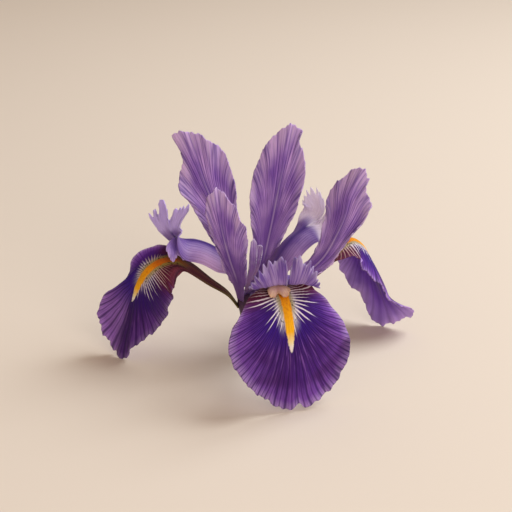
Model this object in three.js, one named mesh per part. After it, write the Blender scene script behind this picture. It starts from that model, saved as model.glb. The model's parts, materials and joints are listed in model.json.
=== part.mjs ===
// Iris flower cut just below the bloom: three falls that arch down to the ground,
// four upright standards, three style arms with split crests, three stamens,
// two narrow central strips and the short tube they all grow from.
// Units are millimetres and +Z is up. Azimuth 0 is +X, azimuth 90 is +Y.
import * as THREE from 'three';

const BLADE_THICKNESS = 0.8;
const STAMEN_THICKNESS = 1.1;
const CURVE_SAMPLES = 400;
const RIDGE_HEIGHT = 0.6;
const RIDGE_WIDTH = 1.7;
const CREASE_START = 0.3;
const CREASE_FULL = 0.6;
const CREASE_SOFTNESS = 0.6;
const SETTLE_START = 0.6;
const FLATTEST_CUP = 1e-5;
const TOOTH_FADE = 4;
const CUT_NARROWING = 0.5;

const FALL_GRID = { rows: 14, columns: 22 };
const STANDARD_GRID = { rows: 12, columns: 14 };
const STYLE_GRID = { rows: 15, columns: 26 };
const STAMEN_GRID = { rows: 9, columns: 4 };
const STRIP_GRID = { rows: 9, columns: 4 };

// The tube and the green ovary below it, as [radius, height] from the cut up to the dome.
const TUBE_PROFILE = [
  [0, 9.0], [2.3, 9.0], [3.0, 11.5], [3.1, 14.0], [2.4, 17.5],
  [2.2, 20.0], [2.3, 22.6], [2.2, 24.0], [1.6, 25.4], [0.8, 26.2], [0, 26.4],
];
const TUBE_SIDES = 20;

// Every blade is a flat outline laid along a spine.
// spine: [outward, sideways, height] at the blade's azimuth, root first.
// right and left: outline from the tip back to the claw, [across, share of the length].
// claw: share of the length that is a narrow strip; strip: [share, half width] of that strip.
// twist: [share, degrees]; cup: [share, curvature in 1/mm], positive bends the margins down.
// crease: how steeply the two halves fold down from the midrib.
const FALLS = {
  fall_front: {
    azimuth: -70,
    spine: [
      [3.1, 0, 22], [12.7, -0.3, 28.6], [22.2, -0.5, 35.7], [28.5, -0.7, 40.2], [33.7, -0.9, 43.1],
      [38.6, -0.7, 41.1], [41.5, -0.1, 34.3], [43.2, 0.2, 25.9], [43.8, 0.4, 13.9], [43.7, 0.2, 1.0],
    ],
    claw: 0.33,
    strip: [[0, 2.0], [0.33, 3.5]],
    right: [
      [0, 1], [5.2, 0.99], [10.8, 0.97], [16, 0.93], [19.8, 0.87], [22.4, 0.79], [21.6, 0.67],
      [17.5, 0.56], [12, 0.45], [4.6, 0.36],
    ],
    left: [
      [0, 1], [-6, 0.97], [-11.6, 0.91], [-16.6, 0.84], [-20, 0.77], [-21.4, 0.68], [-19.4, 0.58],
      [-14.4, 0.5], [-8.6, 0.42], [-4.6, 0.36],
    ],
    cup: [[0, 0.1], [0.3, 0.04], [0.42, 0.02], [0.55, 0.015], [0.7, 0.008], [1, -0.002]],
    bow: [0.12, 0.75],
    ruffle: { height: 0.9, waves: 5, phase: 0.4, power: 3 },
    settle: -0.14,
  },
  fall_left: {
    azimuth: 184,
    spine: [
      [3.1, 0, 22], [6.8, 0.5, 27.3], [13.2, 0.6, 32.2], [20.3, 0.6, 37.8], [25.5, 1.2, 40.9],
      [31.6, 1.8, 39.8], [36.3, 2.5, 36.0], [40.5, 1.2, 27.0], [43.0, 0, 18.3], [45.7, -2.2, 8.5],
      [47.9, -4.4, 0.9],
    ],
    claw: 0.3,
    strip: [[0, 2.0], [0.3, 3.5]],
    right: [
      [0, 1], [3.2, 0.995], [4.4, 0.965], [4.2, 0.93], [5.6, 0.9], [9, 0.83], [12, 0.75], [15, 0.65],
      [14.8, 0.54], [12, 0.42], [8, 0.36], [4.6, 0.33],
    ],
    left: [
      [0, 1], [-3.8, 1], [-5.5, 0.975], [-8, 0.96], [-11.6, 0.91], [-13.6, 0.85], [-13.6, 0.78],
      [-12, 0.72], [-8.6, 0.67], [-7.6, 0.62], [-8.4, 0.55], [-8.6, 0.49], [-7, 0.42], [-4.6, 0.33],
    ],
    twist: [[0, 0], [0.33, -10], [0.55, -35], [0.8, -42], [1, -30]],
    cup: [[0, 0.1], [0.3, 0.04], [0.42, 0.02], [0.6, 0.03], [0.8, 0.03], [1, 0.02]],
    cupLeft: [[0, 0.1], [0.3, 0.03], [0.42, 0], [0.6, 0.015], [0.8, 0.01], [1, -0.02]],
    bow: [0.12, 0.75],
    ruffle: { height: 1.3, waves: 4, phase: 0, power: 3 },
  },
  fall_right: {
    azimuth: 27,
    spine: [
      [3.1, 0, 22], [14.7, -1.9, 25.8], [27.0, -1.4, 31.2], [34.8, -0.9, 36.4], [39.6, 0, 38.8],
      [43.9, 0.1, 39.6], [48.4, 0, 36.4], [52.1, -0.2, 30.1], [55.3, -0.7, 21.5], [58.2, -1.6, 12.4],
      [61.0, -3.0, 2.3],
    ],
    claw: 0.36,
    strip: [[0, 2.0], [0.36, 3.5]],
    right: [
      [0, 1], [4.5, 1], [7.4, 0.965], [9, 0.9], [13, 0.82], [16, 0.73], [16.4, 0.64], [14, 0.54],
      [10, 0.45], [4.6, 0.39],
    ],
    left: [
      [0, 1], [-4.5, 0.99], [-9.6, 0.97], [-13, 0.9], [-13.6, 0.8], [-13, 0.7], [-12.6, 0.62],
      [-11.4, 0.53], [-8, 0.45], [-4.6, 0.39],
    ],
    twist: [[0, 0], [0.55, 10], [0.8, -4], [1, -48]],
    cup: [
      [0, 0.1], [0.3, 0.06], [0.42, 0.07], [0.62, 0.075], [0.78, 0.06], [0.9, 0.005], [1, -0.03],
    ],
    bow: [0.12, 0.75],
    ruffle: { height: 0.6, waves: 4, phase: 1, power: 3 },
    settle: -0.59,
  },
};

const STANDARDS = {
  standard_back: {
    azimuth: 60,
    spine: [
      [3.3, 0.3, 25.2], [11.6, 0.3, 33.2], [16.7, 0.2, 43.4], [19.5, -1.8, 59.8], [21.3, -4.0, 75.6],
      [22.3, -5.4, 86.8],
    ],
    claw: 0.16,
    strip: [[0, 1.5], [0.16, 2.0]],
    right: [
      [0, 1.01], [1.8, 0.975], [3.8, 0.94], [6.0, 0.9], [7.6, 0.86], [8.6, 0.79], [10.2, 0.68],
      [9.6, 0.54], [7.4, 0.4], [5, 0.28], [2.8, 0.19],
    ],
    left: [
      [0, 1.01], [-1.8, 0.98], [-4.8, 0.965], [-3.8, 0.93], [-5.0, 0.88], [-7.8, 0.79], [-8.8, 0.71],
      [-8.4, 0.6], [-8.2, 0.52], [-6.2, 0.42], [-4.4, 0.3], [-2.8, 0.19],
    ],
    twist: [[0, 0], [0.3, 20], [1, 30]],
    cup: [[0, -0.1], [0.4, -0.05], [1, -0.01]],
    bow: [0.2, 0.7],
    ruffle: { height: 1.2, waves: 3.5, phase: 0.6, power: 2 },
  },
  standard_left_back: {
    azimuth: 135,
    spine: [
      [3.2, 0, 25], [7.2, -2.7, 33.7], [12.8, -2.1, 45.2], [17.6, -0.8, 55.9], [20.8, 1.0, 64.3],
      [23.9, 2.7, 74.2], [27.4, 4.5, 84.0],
    ],
    claw: 0.16,
    strip: [[0, 1.5], [0.16, 2.0]],
    right: [
      [0, 1], [2.0, 1.01], [3.6, 1.01], [4.8, 0.99], [4.6, 0.945], [4.2, 0.9], [4.8, 0.83], [7.8, 0.765],
      [9.4, 0.69], [8, 0.63], [7.4, 0.53], [6.4, 0.43], [5.4, 0.34], [2.8, 0.19],
    ],
    left: [
      [0, 1], [-2.4, 0.98], [-5.0, 0.94], [-8.2, 0.88], [-10.6, 0.81], [-11, 0.73], [-10.6, 0.63],
      [-8.2, 0.52], [-5.6, 0.39], [-4, 0.28], [-2.8, 0.19],
    ],
    twist: [[0, 0], [0.3, -35], [1, -45]],
    cup: [[0, -0.1], [0.4, -0.05], [1, -0.01]],
    bow: [0.2, 0.7],
    ruffle: { height: 1.4, waves: 3.5, phase: 2.2, power: 2 },
  },
  standard_left_front: {
    azimuth: 225,
    spine: [
      [3.2, 0, 25], [6.4, 2.1, 32.9], [11.1, 3.0, 43.8], [14.5, 3.2, 54.1], [16.6, 3.2, 64.4],
      [17.1, 2.7, 71.9],
    ],
    claw: 0.14,
    strip: [[0, 1.5], [0.14, 2.0]],
    right: [
      [0, 1], [2.2, 0.965], [5.8, 0.86], [7, 0.78], [8.4, 0.66], [7.4, 0.52], [6, 0.43], [5, 0.33],
      [3.8, 0.22], [2.6, 0.17],
    ],
    left: [
      [0, 1], [-2.8, 0.965], [-3.9, 0.9], [-4.3, 0.77], [-4.1, 0.62], [-3.4, 0.45], [-2.8, 0.3],
      [-2.4, 0.17],
    ],
    twist: [[0, 0], [0.3, 35], [1, 40]],
    cup: [[0, -0.1], [0.4, -0.04], [1, -0.01]],
    bow: [0.2, 0.7],
    ruffle: { height: 0.9, waves: 3.5, phase: 1, power: 2 },
  },
  standard_right: {
    azimuth: -15,
    spine: [
      [3.2, 0, 25], [12.3, 0.2, 29.3], [20.6, 0.4, 35.6], [27.7, 2.2, 42.9], [31.7, 4.4, 50.8],
      [34.0, 6.0, 57.1], [35.4, 7.4, 63.8], [38.0, 9.2, 70.1], [40.7, 10.9, 74.5],
    ],
    claw: 0.26,
    strip: [[0, 1.5], [0.26, 2.2]],
    right: [
      [0, 1], [3.6, 0.965], [5.8, 0.9], [7.6, 0.85], [9, 0.8], [8.6, 0.73], [6.4, 0.62], [4.6, 0.5],
      [4, 0.4], [3, 0.3],
    ],
    left: [
      [0, 1], [-2.4, 0.97], [-3.6, 0.91], [-5.6, 0.87], [-8, 0.825], [-7.6, 0.76], [-6.4, 0.7],
      [-4.8, 0.62], [-3.6, 0.5], [-3.2, 0.4], [-3, 0.3],
    ],
    twist: [[0, 10], [0.3, 60], [1, 72]],
    cup: [[0, -0.1], [0.4, -0.05], [1, -0.03]],
    crease: 0.28,
    bow: [0.2, 0.7],
    ruffle: { height: 1.1, waves: 3.5, phase: 1, power: 2 },
  },
};

const STYLE_ARMS = {
  style_arm_front: {
    azimuth: -76,
    spine: [
      [1.6, 0, 27.2], [8.7, 2.0, 32.7], [16.2, 3.0, 38.0], [22.6, 3.8, 42.0], [29.8, 3.9, 45.5],
      [35.0, 4.2, 46.2], [38.6, 4.2, 46.0], [40.4, 4.2, 48.6], [40.6, 4.3, 57.8],
    ],
    claw: 0.64,
    strip: [[0, 1.0], [0.42, 6.5], [0.64, 6.5]],
    right: [
      [0, 0.86], [1.2, 0.96], [3.2, 1.0], [6.6, 0.97], [9.4, 0.9], [11.2, 0.81], [11.0, 0.72],
      [6.8, 0.65],
    ],
    left: [
      [0, 0.86], [-1.4, 0.98], [-4.4, 1.0], [-8.8, 0.95], [-12, 0.87], [-13.2, 0.78], [-11.4, 0.7],
      [-6.8, 0.65],
    ],
    cup: [[0, 0.15], [0.5, 0.12], [0.66, 0.03], [1, -0.02]],
    bow: [0.35, 0.5],
    split: { depth: 0.55, width: 0.09 },
    teeth: { depth: 0.1, count: 2.25, phase: 0 },
  },
  style_arm_left: {
    azimuth: 178,
    spine: [
      [1.6, 0, 27.2], [3.8, 0.1, 38.1], [12.3, -0.1, 44.6], [17.3, 0.1, 46.6], [22.0, 0.3, 47.4],
      [25.6, 0.3, 48.8], [27.4, 0.4, 52.8], [27.6, 0.4, 61.0],
    ],
    claw: 0.76,
    strip: [[0, 1.0], [0.36, 9.0], [0.68, 9.4], [0.76, 6.6]],
    narrowSide: { left: 0.7, right: 1 },
    right: [
      [0, 0.88], [1.6, 0.91], [2.6, 0.97], [5.2, 1.0], [9.0, 1.03], [6.8, 0.93], [6.0, 0.86],
      [6.4, 0.78],
    ],
    left: [
      [0, 0.88], [-0.2, 0.97], [-1.4, 1.03], [-3.8, 1.02], [-4.4, 0.94], [-4.8, 0.9], [-6.2, 0.96],
      [-6.2, 0.88], [-8.4, 0.9], [-6.4, 0.82], [-4.6, 0.78],
    ],
    twist: [[0, 0], [0.6, 0], [0.8, 55], [1, 60]],
    cup: [[0, 0.15], [0.62, 0.14], [0.76, 0.05], [1, -0.01]],
    bow: [0.35, 0.5],
    teeth: { depth: 0.1, count: 2.25, phase: 0.3 },
  },
  style_arm_right: {
    azimuth: 35,
    spine: [
      [1.6, 0, 27.2], [8.9, -3.2, 36.3], [17.4, -1.8, 43.3], [26.3, -1.4, 47.4], [31.2, -1.1, 48.2],
      [33.6, -1.5, 50.6], [34.4, -1.5, 54.3], [33.7, -1.0, 59.8],
    ],
    claw: 0.62,
    strip: [[0, 1.0], [0.36, 7.5], [0.62, 7.5]],
    narrowSide: { left: 1, right: 0.6 },
    right: [
      [0, 0.87], [1.0, 0.97], [3.4, 1.05], [6.4, 1.03], [8.6, 0.95], [9.0, 0.84], [7.6, 0.73],
      [4.8, 0.64],
    ],
    left: [
      [0, 0.87], [-1.4, 0.95], [-4.8, 0.95], [-8.4, 0.87], [-10, 0.78], [-9.8, 0.7], [-7.8, 0.64],
    ],
    twist: [[0, 0], [0.55, 0], [0.75, 50], [1, 50]],
    cup: [[0, 0.15], [0.55, 0.14], [0.7, 0.04], [1, -0.01]],
    bow: [0.35, 0.5],
    split: { depth: 0.5, width: 0.08 },
    teeth: { depth: 0.1, count: 2.25, phase: 0.6 },
  },
};

const STAMEN_OUTLINE = {
  claw: 0.5,
  strip: [[0, 0.35], [0.5, 0.5]],
  right: [[0, 1], [0.7, 0.97], [1.2, 0.85], [1.3, 0.65], [0.6, 0.53]],
  left: [[0, 1], [-0.7, 0.97], [-1.2, 0.85], [-1.3, 0.65], [-0.6, 0.53]],
  bow: [0.5, 0.5],
};
const STAMENS = {
  stamen_front: { azimuth: -72, spine: [[2.8, 0, 24.6], [8.2, 0.6, 29.2], [15, 1.2, 34], [21, 1.5, 38]] },
  stamen_left: { azimuth: 181, spine: [[2.9, 0, 24.6], [5.0, 0.3, 33], [11, 0.5, 39.3], [17.5, 0.6, 42.8]] },
  stamen_right: {
    azimuth: 22,
    spine: [[2.8, 0.1, 25.0], [8.5, -1.0, 31.5], [15.8, 1.4, 38.2], [22.7, 2.8, 42.4]],
  },
};

const STRIP_OUTLINE = {
  claw: 0.2,
  strip: [[0, 0.6], [0.2, 0.8]],
  right: [[0, 1], [0.9, 0.95], [1.3, 0.8], [1.2, 0.5], [0.9, 0.23]],
  left: [[0, 1], [-0.9, 0.95], [-1.3, 0.8], [-1.2, 0.5], [-0.9, 0.23]],
  bow: [0.5, 0.5],
};
const STRIPS = {
  central_strip_tall: { azimuth: 100, spine: [[2.3, 0, 26.2], [3.0, -2.6, 36], [4.2, -3.4, 47]] },
  central_strip_curled: {
    azimuth: 90,
    spine: [[4.3, -2.1, 30.2], [5.8, -3.6, 36], [6.8, -4.6, 41.5], [5.8, -5.2, 43.6]],
  },
};

const COLOURS = {
  fall: { color: 0x4a2377, roughness: 0.7 },
  standard: { color: 0x8a5f9c, roughness: 0.65 },
  style: { color: 0xa585b8, roughness: 0.6 },
  stamen: { color: 0xd9b36a, roughness: 0.8 },
  strip: { color: 0x8d6aa3, roughness: 0.6 },
  tube: { color: 0x7d8a4e, roughness: 0.6 },
};

// Value at u between the [u, value] pairs of a table, eased between neighbours.
function tableValue(table, u) {
  const first = table[0];
  const last = table[table.length - 1];
  const at = Math.min(Math.max(u, first[0]), last[0]);
  let k = 0;
  while (k < table.length - 2 && at >= table[k + 1][0]) {
    k += 1;
  }
  const share = (at - table[k][0]) / (table[k + 1][0] - table[k][0]);
  const eased = share * share * (3 - 2 * share);
  return table[k][1] * (1 - eased) + table[k + 1][1] * eased;
}

// A curve through the points, sampled closely, with the length run up to each sample.
function measuredCurve(points) {
  const curve = new THREE.CatmullRomCurve3(points, false, 'centripetal');
  const samples = [];
  const lengths = [];
  let run = 0;
  for (let i = 0; i <= CURVE_SAMPLES; i += 1) {
    const point = curve.getPoint(i / CURVE_SAMPLES);
    if (i > 0) {
      run += point.distanceTo(samples[i - 1]);
    }
    samples.push(point);
    lengths.push(run);
  }
  return { samples, lengths, total: run };
}

// The pair of samples round a given length, and how far the length lies between them.
function bracket(lengths, length) {
  let low = 0;
  let high = lengths.length - 1;
  while (high - low > 1) {
    const middle = (low + high) >> 1;
    if (lengths[middle] <= length) {
      low = middle;
    } else {
      high = middle;
    }
  }
  const share = (length - lengths[low]) / (lengths[high] - lengths[low]);
  return { low, high, share: Math.min(Math.max(share, 0), 1) };
}

// The spine with a frame carried along it: along, across and outward normal.
function makeSpine(blade) {
  const angle = THREE.MathUtils.degToRad(blade.azimuth);
  const outward = new THREE.Vector3(Math.cos(angle), Math.sin(angle), 0);
  const sideways = new THREE.Vector3(-Math.sin(angle), Math.cos(angle), 0);
  const points = blade.spine.map(([out, side, height]) => new THREE.Vector3(0, 0, height)
    .addScaledVector(outward, out)
    .addScaledVector(sideways, side));
  const run = measuredCurve(points);
  const across = [];
  const along = [];
  let carried = sideways.clone();
  run.samples.forEach((sample, i) => {
    const before = run.samples[Math.max(i - 1, 0)];
    const after = run.samples[Math.min(i + 1, CURVE_SAMPLES)];
    const direction = after.clone().sub(before).normalize();
    carried = carried.clone().addScaledVector(direction, -carried.dot(direction)).normalize();
    along.push(direction);
    across.push(carried);
  });
  return { ...run, along, across };
}

// Position and frame on the spine at a length; past the tip it runs straight on.
function frameAt(spine, blade, length) {
  const inside = Math.min(Math.max(length, 0), spine.total);
  const { low, high, share } = bracket(spine.lengths, inside);
  const position = spine.samples[low].clone().lerp(spine.samples[high], share);
  const along = spine.along[low].clone().lerp(spine.along[high], share).normalize();
  position.addScaledVector(along, length - inside);
  const level = spine.across[low].clone().lerp(spine.across[high], share).normalize();
  const upward = along.clone().cross(level);
  const turn = THREE.MathUtils.degToRad(tableValue(blade.twist ?? [[0, 0], [1, 0]], inside / spine.total));
  const across = level.clone().multiplyScalar(Math.cos(turn)).addScaledVector(upward, Math.sin(turn));
  const normal = along.clone().cross(across);
  return { position, across, normal };
}

function outlineCurve(side, total) {
  return measuredCurve(side.map(([across, share]) => new THREE.Vector3(across, share * total, 0)));
}

// Margin point for a column: t runs from -1 (left claw corner) over 0 (tip) to 1 (right).
function marginPoint(blade, outlines, t) {
  const outline = t < 0 ? outlines.left : outlines.right;
  const { low, high, share } = bracket(outline.lengths, Math.abs(t) * outline.total);
  const point = outline.samples[low].clone().lerp(outline.samples[high], share);
  let cut = 0;
  if (blade.split) {
    cut += blade.split.depth * Math.exp(-((t / blade.split.width) ** 2));
  }
  if (blade.teeth) {
    const { depth, count, phase } = blade.teeth;
    const wave = 0.5 + 0.5 * Math.cos(2 * Math.PI * (count * t + phase));
    cut += depth * wave * Math.min((1 - Math.abs(t)) * TOOTH_FADE, 1);
  }
  const claw = blade.claw * outlines.length;
  point.y = claw + (point.y - claw) * (1 - cut);
  point.x *= 1 - CUT_NARROWING * cut;
  return point;
}

// Flat position of a grid point: v runs along the blade, t runs across it.
function flatPoint(blade, outlines, v, t) {
  const clawLength = blade.claw * outlines.length;
  const clawWidth = tableValue(blade.strip, blade.claw);
  const sides = blade.narrowSide ?? { left: 1, right: 1 };
  const side = t < 0 ? sides.left : sides.right;
  if (v <= blade.claw) {
    return { x: t * tableValue(blade.strip, v) * side, y: v * outlines.length, spread: 0 };
  }
  const spread = (v - blade.claw) / (1 - blade.claw);
  const start = new THREE.Vector3(t * clawWidth * side, clawLength, 0);
  const end = marginPoint(blade, outlines, t);
  const [bowAcross, bowAlong] = blade.bow;
  const control = new THREE.Vector3(
    start.x + (end.x - start.x) * bowAcross,
    start.y + (end.y - start.y) * bowAlong,
    0,
  );
  const vein = new THREE.QuadraticBezierCurve3(start, control, end).getPoint(spread);
  return { x: vein.x, y: vein.y, spread };
}

// The flat point laid on the curved blade.
function curvedPoint(blade, spine, flat, t) {
  const share = flat.y / spine.total;
  const cup = flat.x < 0 && blade.cupLeft ? blade.cupLeft : blade.cup ?? [[0, 0], [1, 0]];
  let curvature = tableValue(cup, share);
  if (Math.abs(curvature) < FLATTEST_CUP) {
    curvature = FLATTEST_CUP;
  }
  const bend = curvature * flat.x;
  const across = Math.sin(bend) / curvature;
  let lift = -(1 - Math.cos(bend)) / curvature;
  if (blade.ruffle) {
    const { height, waves, phase, power } = blade.ruffle;
    lift += height * flat.spread ** power * Math.sin(waves * Math.PI * t + phase);
  }
  const fold = (blade.crease ?? 0) * THREE.MathUtils.smoothstep(share, CREASE_START, CREASE_FULL);
  lift -= fold * (Math.hypot(flat.x, CREASE_SOFTNESS) - CREASE_SOFTNESS);
  const frame = frameAt(spine, blade, flat.y);
  const point = frame.position.addScaledVector(frame.across, across).addScaledVector(frame.normal, lift);
  if (blade.settle !== undefined) {
    point.z += blade.settle * THREE.MathUtils.smoothstep(share, SETTLE_START, 1);
  }
  return point;
}

// Height of the raised signal ridge on the upper face of a fall.
function ridgeHeight(blade, flat, share) {
  if (!blade.ridge) {
    return 0;
  }
  const [from, to] = blade.ridge;
  const along = Math.min(Math.max((share - from) / (to - from), 0), 1);
  return RIDGE_HEIGHT * Math.sin(Math.PI * along) * Math.exp(-((flat.x / RIDGE_WIDTH) ** 2));
}

// A closed blade: two offset faces split into triangles alike, joined by a rim.
function bladeGeometry(blade, grid, thickness) {
  const spine = makeSpine(blade);
  const outlines = {
    length: spine.total,
    right: outlineCurve(blade.right, spine.total),
    left: outlineCurve(blade.left, spine.total),
  };
  const columns = grid.columns + 1;
  const rows = grid.rows + 1;
  const sheet = new THREE.PlaneGeometry(1, 1, grid.columns, grid.rows);
  const flats = [];
  for (let row = 0; row < rows; row += 1) {
    for (let column = 0; column < columns; column += 1) {
      const t = 1 - (2 * column) / grid.columns;
      const flat = flatPoint(blade, outlines, row / grid.rows, t);
      const point = curvedPoint(blade, spine, flat, t);
      sheet.attributes.position.setXYZ(row * columns + column, point.x, point.y, point.z);
      flats.push(flat);
    }
  }
  sheet.computeVertexNormals();
  const middle = sheet.attributes.position;
  const normal = sheet.attributes.normal;
  const count = middle.count;
  const positions = new Float32Array(count * 6);
  for (let i = 0; i < count; i += 1) {
    const point = new THREE.Vector3().fromBufferAttribute(middle, i);
    const offset = new THREE.Vector3().fromBufferAttribute(normal, i);
    const ridge = ridgeHeight(blade, flats[i], flats[i].y / spine.total);
    point.clone().addScaledVector(offset, thickness / 2 + ridge).toArray(positions, i * 3);
    point.clone().addScaledVector(offset, -thickness / 2).toArray(positions, (count + i) * 3);
  }
  const faces = Array.from(sheet.index.array);
  const triangles = [...faces];
  for (let i = 0; i < faces.length; i += 3) {
    triangles.push(count + faces[i], count + faces[i + 2], count + faces[i + 1]);
  }
  const border = [];
  for (let column = 0; column < columns; column += 1) {
    border.push(column);
  }
  for (let row = 1; row < rows; row += 1) {
    border.push(row * columns + columns - 1);
  }
  for (let column = columns - 2; column >= 0; column -= 1) {
    border.push((rows - 1) * columns + column);
  }
  for (let row = rows - 2; row > 0; row -= 1) {
    border.push(row * columns);
  }
  border.forEach((here, i) => {
    const next = border[(i + 1) % border.length];
    triangles.push(here, next, count + next, here, count + next, count + here);
  });
  const geometry = new THREE.BufferGeometry();
  geometry.setAttribute('position', new THREE.BufferAttribute(positions, 3));
  geometry.setIndex(triangles);
  geometry.computeVertexNormals();
  return geometry;
}

function addPiece(flower, name, geometry, look) {
  const material = new THREE.MeshStandardMaterial({ ...look, metalness: 0, name });
  const mesh = new THREE.Mesh(geometry, material);
  mesh.name = name;
  flower.add(mesh);
}

const flower = new THREE.Group();
flower.name = 'iris_flower';

const RIDGES = { fall_front: [0.3, 0.66], fall_left: [0.28, 0.64], fall_right: [0.36, 0.68] };
for (const [name, blade] of Object.entries(FALLS)) {
  const geometry = bladeGeometry({ ...blade, ridge: RIDGES[name] }, FALL_GRID, BLADE_THICKNESS);
  addPiece(flower, name, geometry, COLOURS.fall);
}
for (const [name, blade] of Object.entries(STANDARDS)) {
  addPiece(flower, name, bladeGeometry(blade, STANDARD_GRID, BLADE_THICKNESS), COLOURS.standard);
}
for (const [name, blade] of Object.entries(STYLE_ARMS)) {
  addPiece(flower, name, bladeGeometry(blade, STYLE_GRID, BLADE_THICKNESS), COLOURS.style);
}
for (const [name, path] of Object.entries(STAMENS)) {
  const geometry = bladeGeometry({ ...STAMEN_OUTLINE, ...path }, STAMEN_GRID, STAMEN_THICKNESS);
  addPiece(flower, name, geometry, COLOURS.stamen);
}
for (const [name, path] of Object.entries(STRIPS)) {
  const geometry = bladeGeometry({ ...STRIP_OUTLINE, ...path }, STRIP_GRID, BLADE_THICKNESS);
  addPiece(flower, name, geometry, COLOURS.strip);
}
const tubeOutline = TUBE_PROFILE.map(([radius, height]) => new THREE.Vector2(radius, height));
const tube = new THREE.LatheGeometry(tubeOutline, TUBE_SIDES);
tube.rotateX(Math.PI / 2);
addPiece(flower, 'perianth_tube', tube, COLOURS.tube);

// The origin goes to the middle of the box round the flower, at its lowest point.
const box = new THREE.Box3().setFromObject(flower);
const centre = box.getCenter(new THREE.Vector3());
for (const piece of flower.children) {
  piece.geometry.translate(-centre.x, -centre.y, -box.min.z);
}

export default flower;
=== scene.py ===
# %% [markdown]
# # An iris flower in Blender
# The bloom stands on the tips of its three falls. The solid model has every petal as a plain
# blade; here each one is made again with many more faces, so that its frilled margin, its veins
# and its colours can follow the real petal. We start by loading the solid model, which the finer
# pieces have to match.

import json
import math

import bmesh
import bpy
import numpy as np
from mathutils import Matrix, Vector

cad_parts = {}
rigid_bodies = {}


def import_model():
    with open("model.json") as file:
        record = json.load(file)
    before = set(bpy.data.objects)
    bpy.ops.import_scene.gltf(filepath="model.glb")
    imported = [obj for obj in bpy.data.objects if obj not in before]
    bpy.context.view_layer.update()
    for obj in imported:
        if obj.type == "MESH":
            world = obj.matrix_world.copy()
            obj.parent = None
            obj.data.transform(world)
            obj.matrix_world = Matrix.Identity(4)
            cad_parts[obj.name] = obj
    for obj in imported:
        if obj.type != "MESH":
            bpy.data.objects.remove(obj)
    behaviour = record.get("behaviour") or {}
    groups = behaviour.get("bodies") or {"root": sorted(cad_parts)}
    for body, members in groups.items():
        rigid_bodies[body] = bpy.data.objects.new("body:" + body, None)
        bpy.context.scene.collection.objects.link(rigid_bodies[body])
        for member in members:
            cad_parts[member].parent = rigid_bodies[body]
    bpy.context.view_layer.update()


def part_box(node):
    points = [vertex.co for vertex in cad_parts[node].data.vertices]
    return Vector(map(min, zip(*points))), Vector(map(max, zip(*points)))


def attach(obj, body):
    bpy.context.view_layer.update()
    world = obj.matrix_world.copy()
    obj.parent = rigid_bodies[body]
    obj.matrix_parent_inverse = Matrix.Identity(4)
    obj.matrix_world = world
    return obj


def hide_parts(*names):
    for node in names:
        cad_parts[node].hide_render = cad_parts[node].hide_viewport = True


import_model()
solid_names = {node.name for node in bpy.data.objects}
MM = 0.001

# %% [markdown]
# The tube in the middle carries all the petals, so the flower's own axis is the middle of its
# box. Petal shapes below are given in millimetres from that axis, as a grower would measure
# them, and are moved here once.

# %% The flower's axis
TUBE_CUT_HEIGHT = 9.0
tube_low, tube_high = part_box("perianth_tube")
axis_foot = Vector(
    (
        (tube_low.x + tube_high.x) / 2,
        (tube_low.y + tube_high.y) / 2,
        tube_low.z - TUBE_CUT_HEIGHT * MM,
    )
)
print("flower axis stands at", axis_foot)


# %% [markdown]
# ## Camera
# A camera a little above the bloom sees both the face of the front fall and the roofs of the
# style arms. A long lens keeps the petals' proportions true.

# %% Camera
CAMERA_ELEVATION = math.radians(22.0)
CAMERA_DISTANCE = 0.440
CAMERA_LENS = 85.0
LOOK_AT = axis_foot + Vector((3.35, 8.0, 38.0)) * MM

camera_data = bpy.data.cameras.new("camera")
camera_data.lens = CAMERA_LENS
camera_data.sensor_width = 36.0
camera = bpy.data.objects.new("camera", camera_data)
towards_camera = Vector((0.0, -math.cos(CAMERA_ELEVATION), math.sin(CAMERA_ELEVATION)))
camera.location = LOOK_AT + towards_camera * CAMERA_DISTANCE
camera.rotation_euler = (math.pi / 2 - CAMERA_ELEVATION, 0.0, 0.0)
bpy.context.scene.collection.objects.link(camera)
bpy.context.scene.camera = camera
print("camera at", camera.location)


# %% [markdown]
# ## How a petal is drawn
# A petal is a flat leaf shape first: a narrow claw, then a blade whose veins fan out. We lay
# that flat shape along a curved spine, cup it across, and ripple its margin. Petals could also be
# sculpted by hand, but one way of working them all out keeps them alike in kind and lets the fine
# ones follow the solids closely. Numbers that change along the petal are short tables of (share
# of the length, value), eased between their rows.


# %% Tables and curves
SPINE_STEPS = 60
MARGIN_STEPS = 24
CENTRIPETAL = 0.25


def table_value(table, share):
    """The eased value of a table at each share of the length."""
    places = np.array([row[0] for row in table], float)
    values = np.array([row[1] for row in table], float)
    share = np.clip(share, places[0], places[-1])
    k = np.clip(np.searchsorted(places, share, side="right") - 1, 0, len(places) - 2)
    part = (share - places[k]) / (places[k + 1] - places[k])
    part = part * part * (3 - 2 * part)
    return values[k] * (1 - part) + values[k + 1] * part


def ease(low, high, value):
    """0 below low, 1 above high, smooth between."""
    part = np.clip((value - low) / (high - low), 0, 1)
    return part * part * (3 - 2 * part)


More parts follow.
